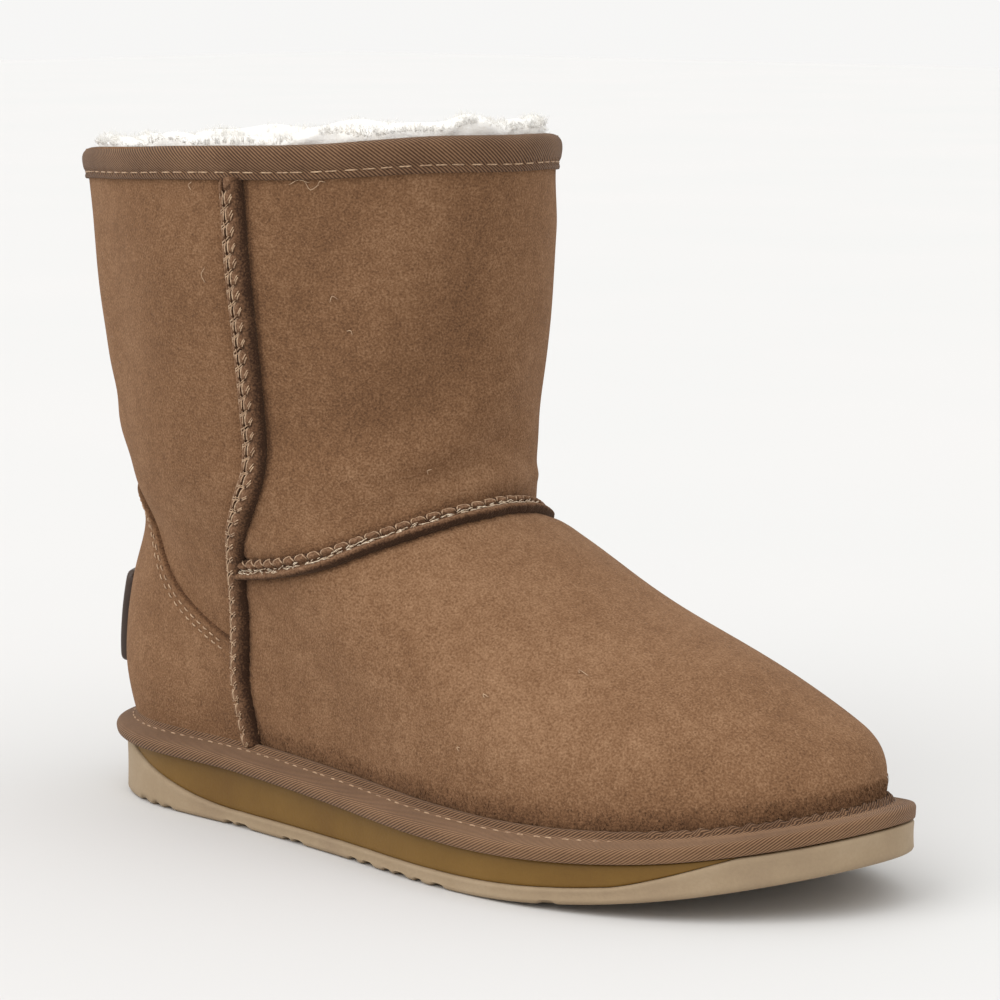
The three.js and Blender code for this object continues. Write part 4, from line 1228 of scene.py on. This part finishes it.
def nap_fringe():
    """Short fibres of the nap that lie down over the sole tape's upper edge all round."""
    random = np.random.default_rng(59)
    count = NAP_FIBRES
    around = random.uniform(0, 1, count)
    section = section_at(BINDING_HEIGHT - 0.4 + 6.5 * random.uniform(0, 1, count) ** 1.6)
    along, upward, normal = directions(around, section)
    heading = unit(-unit(upward) + unit(along) * random.normal(0, 0.35, (count, 1)) + normal * 0.28)
    share = np.linspace(0, 1, 3)
    length = random.uniform(1.1, 2.3, (count, 1))
    droop = 0.18 * length * share ** 2
    paths = surface(around, section, -0.1)[:, None] + heading[:, None] * (length * share)[..., None]
    paths = paths - normal[:, None] * droop[..., None]
    thick = 0.13 * np.sqrt(1 - share) * random.uniform(0.7, 1.2, (count, 1))
    ups = np.broadcast_to(normal[:, None], paths.shape)
    points, triangles = tubes(paths, ups, thick, sides=3)
    tone = np.full(len(points), 0.5)
    piece("nap_over_sole_tape", points, triangles, SUEDE, "suede", tone=tone)


def outline_stations(outset, bend):
    """The outline moved out, at shares of its length: x there, and its outer and inner edge's y."""
    ring = sole_outline(np.linspace(0, 1, 6001)[:-1], outset)
    ring = np.roll(ring, -ring[:, 0].argmin(), axis=0)
    toe = ring[:, 0].argmax()
    x = mix(ring[0, 0], ring[toe, 0], bend)
    outer = np.interp(x, ring[:toe + 1, 0], ring[:toe + 1, 1])
    inner = np.interp(-x, -ring[toe:, 0], ring[toe:, 1])
    return x, outer, inner


def sole_layer(name, rows, stations, material, slot, nodes, relief=None):
    """A flat layer of the sole: loops across it at stations from heel to toe, closed to a line at both ends.

    Each row is (share of the half width, outset, height over the floor at x), from the underside's middle
    out and up to the middle of the top; the inner side repeats the rows the other way.
    """
    bend = (1 - np.cos(math.pi * np.linspace(0, 1, stations))) / 2
    outer_side, inner_side = [], []
    for share, outset, height in rows:
        x, outer, inner = outline_stations(outset, bend)
        for side, edge in ((outer_side, outer), (inner_side, inner)):
            y = mix((outer + inner) / 2, edge, share)
            z = height(x)
            if relief is not None and share < 1:
                z = z + relief(x, y, share)
            side.append(np.stack([x, y, z], -1))
    loop = np.stack(outer_side + inner_side[::-1][1:-1], 1)
    closed_piece(name, loop, False, True, material, slot, nodes)


def outsole():
    """Tan outsole: tread underneath, rounded lower edge, slightly hollow wall and rounded upper edge."""
    def top(x):
        return panel_bottom(x) - 0.1

    def low(over, chip_share):
        return lambda x: sole_bottom(x) + over + chip_share * chips(x)

    def between(share):
        return lambda x: mix(sole_bottom(x) + 1.2, top(x) - 0.8, share)

    across = (0, 0.3, 0.6, 0.8, 0.85, 0.865, 0.88, 0.895, 0.91, 0.925, 0.94, 0.96, 0.975, 0.99)
    rows = [(share, -2.6, sole_bottom) for share in across]
    rows += [(1, -1.2, low(0.1, 1)), (1, -0.4, low(0.5, 1)), (1, 0.0, low(1.2, 0.3))]
    rows += [(1, -0.15 * math.sin(math.pi * share), between(share)) for share in np.linspace(0.15, 1, 6)]
    rows += [(1, -0.25, lambda x: top(x) - 0.25), (1, -0.8, top)]
    rows += [(share, -1.5, top) for share in (0.9, 0.5, 0)]
    sole_layer("tan_outsole", rows, OUTSOLE_STATIONS, TAN_FOAM, "tan_foam", ["outsole"], tread)


# Small chips of the lower edge: distance from the heel, half width and depth.
CHIPS = ((30, 2.2, 1.0), (37, 1.6, 1.2), (43, 2.0, 0.8), (71, 1.8, 1.4), (77, 2.6, 1.7), (98, 1.6, 1.1),
         (103, 2.2, 1.3), (129, 1.8, 1.2), (136, 2.2, 1.6), (145, 1.8, 1.0), (151, 2.4, 1.5), (159, 1.6, 1.0),
         (167, 2.2, 1.2), (205, 2.2, 0.8))


def chips(x):
    """Sum of bells, one for each chip."""
    return sum(depth * np.exp(-((x - place) / width) ** 4) for place, width, depth in CHIPS)


def tread(x, y, share):
    """Cross grooves in each tread, with sloping walls, that run out before the sole's edge."""
    depth = np.zeros(x.shape)
    for start, end in TREADS:
        pitch = (end - start) / math.floor((end - start) / LUG_PITCH)
        off = np.abs((x - start + pitch / 2) % pitch - pitch / 2)
        within = (x > start - LUG_GROOVE) & (x < end + LUG_GROOVE)
        cross = 1 - smoothstep(off, LUG_GROOVE / 2 - LUG_WALL, LUG_GROOVE / 2)
        depth = np.maximum(depth, np.where(within, cross, 0))
    return LUG_DEPTH * depth * (1 - smoothstep(share, 0.86, 0.93))


def midsole():
    """Olive panel: an even wall with softened edges, drawn in a little from the tan sole."""
    def lower(x):
        return np.minimum(panel_bottom(x), sole_top(x) - 0.05)

    def between(share):
        return lambda x: mix(lower(x), sole_top(x), share)

    rows = [(0, -4, lower), (0.9, -4, lower), (1, -PANEL_INSET - 0.3, lower)]
    rows += [(1, -PANEL_INSET, between(share)) for share in np.linspace(0.04, 0.97, 9)]
    rows += [(1, -PANEL_INSET - 0.3, sole_top), (0.9, -4, sole_top), (0, -4, sole_top)]
    sole_layer("olive_panel", rows, PANEL_STATIONS, OLIVE_FOAM, "olive_foam", ["midsole"])


def insole():
    """Fleece sock on the sole: a soft sheet with a lumpy pile from side to side of the foot."""
    def edge_line(around):
        line = form(around, 0.0) - directions(around, np.zeros(around.shape))[2] * (WALL + CLEARANCE)
        line[..., 2] = sole_top(line[..., 0])
        return line

    station = (1 - np.cos(math.pi * np.linspace(0, 1, 111))) / 4
    share = np.linspace(0, 1, 40)[:, None, None]
    sheet = mix(edge_line(station), edge_line(1 - station), share)
    plump = np.sin(math.pi * share[..., 0]) ** 0.35
    under, top = sheet.copy(), sheet.copy()
    under[..., 2] += CLEARANCE
    top[..., 2] += CLEARANCE + INSOLE_THICKNESS * (0.7 + 0.3 * plump) + 0.7 * waves(sheet, 7, 31) * plump
    loop = np.concatenate([top, under[::-1]], 0)
    closed_piece("fleece_insole", loop, True, False, FLEECE, "fleece", ["insole"])


def fleece_depth(section):
    """The fleece's thickness: short in the foot and longer in the shaft."""
    return mix(FOOT_FLEECE, SHAFT_FLEECE, smoothstep(section, 5, 9))


def wool_lining():
    """Fleece shell: a plain outer side against the wall and a lumpy pile inside, turned over at the rim."""
    around = np.arange(LINING_COLUMNS) / LINING_COLUMNS
    lowest = section_at(CLEARANCE + INSOLE_THICKNESS)
    against_wall = -WALL - 0.4
    rows = []
    highest = section_at(COLLAR_HEIGHT - COLLAR_TAPE_HEIGHT - 1)
    for section in np.linspace(lowest, highest, LINING_OUTER_ROWS):
        rows.append(surface(around, section, against_wall))
    rim = spline(np.array([
        (-AGAINST_TAPE - 0.3, -COLLAR_TAPE_HEIGHT), (-AGAINST_TAPE - 0.3, -3), (-AGAINST_TAPE + 0.2, 1.2),
        (-AGAINST_TAPE - 0.6, 3.2), (-AGAINST_TAPE - 3, 4.2), (-AGAINST_TAPE - 6, 2.8),
        (-AGAINST_TAPE - 8, -2), (-WALL - SHAFT_FLEECE - 1.5, -7), (-WALL - SHAFT_FLEECE - 1, -12),
    ]), np.linspace(0, 8, LINING_RIM_ROWS), False)
    for out, over in rim:
        row = surface(around, collar_over(around, over), out)
        row[:, 2] += rim_swell(around) * smoothstep(over, -2, 2.5)
        rows.append(row + pile(row) * smoothstep(over, -4, 3) * 0.5)
    for section in np.linspace(section_at(COLLAR_HEIGHT - 13), lowest, LINING_INNER_ROWS):
        row = surface(around, section, against_wall - fleece_depth(section))
        rows.append(row + pile(row))
    ring_piece("fleece_lining", rows, FLEECE, "fleece", ["wool_lining"])


def rim_swell(around):
    """How much higher the wool stands than its mean round the collar: highest at the front, in soft tufts."""
    front = 1.3 * smoothstep(0.5 - np.abs(around - 0.5), 0.25, 0.42)
    return front + 0.8 * np.sin(TURN * 9 * around + 0.5) + 0.6 * np.sin(TURN * 17 * around + 2.1) - 0.5


def pile(points):
    """Lumps of the pile as a shift toward and away from the boot's upright axis."""
    axis = np.array([0.24 * LENGTH, 0, 0])
    away = unit((points - axis) * (1, 1, 0))
    return away * (1.0 * waves(points, 9, 41) + 0.6 * waves(points, 4.5, 42))[..., None]


def wool_locks():
    """Curly locks: tapered threads that leave the pile in a small helix, over the rim and down the shaft."""
    random = np.random.default_rng(77)
    up = np.array([0, 0, 1.0])
    for part in (1, 2):
        count = RIM_LOCKS
        around = random.uniform(0, 1, count)
        depth = AGAINST_TAPE - 0.4 + (SHAFT_FLEECE - 1) * random.uniform(0, 1, count) ** 1.3
        over = 3.4 - 0.10 * (depth - AGAINST_TAPE - 2.5) ** 2 + rim_swell(around) - 0.6
        base = surface(around, collar_over(around, over), -depth)
        lean = directions(around, np.full(count, float(TOP)))[2]
        heading = unit(up + lean * random.normal(0.15, 0.45, (count, 1)) + random.normal(0, 0.40, (count, 3)))
        long = random.uniform(1.2, 2.8, count) * (1 + 0.5 * waves(base, 11, 51).clip(-0.8, 1))
        make_locks(f"wool_on_rim_{part}", base, heading, long, random, radius=0.11, spread=0.35)
    for part, crowding in ((1, 1), (2, 1.3)):
        count = SHAFT_LOCKS
        around = random.uniform(0, 1, count)
        section = section_at(COLLAR_HEIGHT - 3 - 95 * random.uniform(0, 1, count) ** crowding)
        base = surface(around, section, -WALL - fleece_depth(section) + 0.5)
        lean = -directions(around, section)[2]
        heading = unit(lean + up * 0.3 + random.normal(0, 0.55, (count, 3)))
        long = random.uniform(3.0, 5.5, count)
        make_locks(f"wool_in_shaft_{part}", base, heading, long, random, radius=0.32, spread=0.8)


def make_locks(name, base, heading, length, random, radius, spread):
    """Locks from bases along headings: a helix that widens from its root, thinning to a point."""
    count = len(base)
    share = np.linspace(0, 1, 6)
    side = unit(np.cross(heading, random.normal(size=(count, 3))))
    other = np.cross(heading, side)
    turns = random.uniform(0.8, 1.9, (count, 1)) * np.sign(random.uniform(-1, 1, (count, 1)))
    angle = TURN * turns * share
    curl = spread * (0.25 + share) * random.uniform(0.5, 1.2, (count, 1))
    paths = base[:, None]
    moves = ((heading, length[:, None] * share), (side, curl * np.cos(angle)), (other, curl * np.sin(angle)))
    for direction, move in moves:
        paths = paths + direction[:, None] * move[..., None]
    thick = radius * random.uniform(0.7, 1.3, (count, 1)) * np.sqrt(1 - share)
    thick[:, 0] = 0
    ups = np.broadcast_to(side[:, None], paths.shape)
    points, triangles = tubes(paths, ups, thick, sides=3)
    piece(name, points, triangles, FLEECE, "fleece")


# Softboxes far enough away to light evenly: where they stand as seen from the boot, their width in degrees
# and their strength.
SUNS = (
    ("left_softbox", (-0.25, -0.80, 0.85), 50, 1.15),
    ("overhead_softbox", (0.35, -0.15, 1.0), 70, 0.55),
)


# Ends of thread and lint lying on the suede: place round and height over the sole of the middle, direction in
# degrees up from level, length and bow in mm.
LOOSE_ENDS = (
    (0.338, 172.2, 4, 7.0, 0.6),
    (0.346, 170.9, -12, 5.0, -1.0),
    (0.352, 171.8, 25, 3.0, 0.5),
    (0.262, 171.0, 80, 2.6, 0.5),
    (0.360, 140.0, 20, 3.2, 0.8),
    (0.270, 146.0, 86, 5.0, 0.6),
    (0.372, 131.0, -30, 2.2, 0.4),
    (0.430, 92.0, 60, 2.4, 0.5),
    (0.340, 38.0, 10, 2.2, 0.4),
    (0.405, 44.0, -20, 2.0, 0.5),
    (0.300, 24.0, 40, 1.8, 0.3),
)


def loose_ends():
    """Short thin threads, bowed and lifted a little from the suede in their middle."""
    around, height, turn, long, bow = np.array(LOOSE_ENDS).T[:, :, None]
    run = np.linspace(-0.5, 0.5, 7) * long
    off = bow * np.cos(TURN * run / long)
    turn = np.radians(turn)
    section = section_at(height + run * np.sin(turn) + off * np.cos(turn))
    per_turn = np.linalg.norm(directions(around + 0 * section, section)[0], axis=-1)
    around = around + (run * np.cos(turn) - off * np.sin(turn)) / per_turn
    paths = surface(around, section, 0.25 + 0.25 * np.cos(TURN * run / (2 * long)))
    ups = directions(around, section)[2]
    threads = tubes(paths, ups, thread_radius(*around.shape, radius=0.13), sides=5)
    piece("loose_thread_ends", *threads, THREAD, "seam_suede")


def studio():
    """Pale floor, a bright world that meets it without a line, and softboxes from the left and overhead."""
    scene = bpy.context.scene
    scene.view_settings.view_transform = "Standard"
    world = bpy.data.worlds.new("studio")
    world.use_nodes = True
    background = world.node_tree.nodes["Background"]
    background.inputs["Color"].default_value = (1.0, 0.995, 0.985, 1.0)
    background.inputs["Strength"].default_value = 0.93
    scene.world = world
    made, tree, place = new_material("pale_floor")
    cloud = add(tree, "ShaderNodeTexNoise", {"Vector": place, "Scale": 3})
    pale = add(tree, "ShaderNodeValToRGB", {"Fac": cloud}, stops=[(0.3, "#d8d8d7"), (0.7, "#dad9d8")])
    shader = tree.nodes["Principled BSDF"]
    tree.links.new(pale, shader.inputs["Base Color"])
    shader.inputs["Roughness"].default_value = 0.8
    shader.inputs["Specular IOR Level"].default_value = 0.1
    far = 6.0
    mesh = bpy.data.meshes.new("floor")
    mesh.from_pydata([(-far, -far, 0), (far, -far, 0), (far, far, 0), (-far, far, 0)], [], [(0, 1, 2, 3)])
    mesh.materials.append(made)
    floor = bpy.data.objects.new("floor", mesh)
    scene.collection.objects.link(floor)
    for name, toward, degrees, strength in SUNS:
        data = bpy.data.lights.new(name, "SUN")
        data.angle = math.radians(degrees)
        data.energy = strength
        light = bpy.data.objects.new(name, data)
        light.rotation_euler = (-Vector(toward)).to_track_quat("-Z", "Y").to_euler()
        scene.collection.objects.link(light)


upper()
heel_counter()
counter_stitches()
heel_label()
side_seams()
vamp_seam()
collar_binding()
collar_stitches()
sole_binding()
sole_stitches()
nap_fringe()
outsole()
midsole()
insole()
wool_lining()
wool_locks()
loose_ends()
studio()
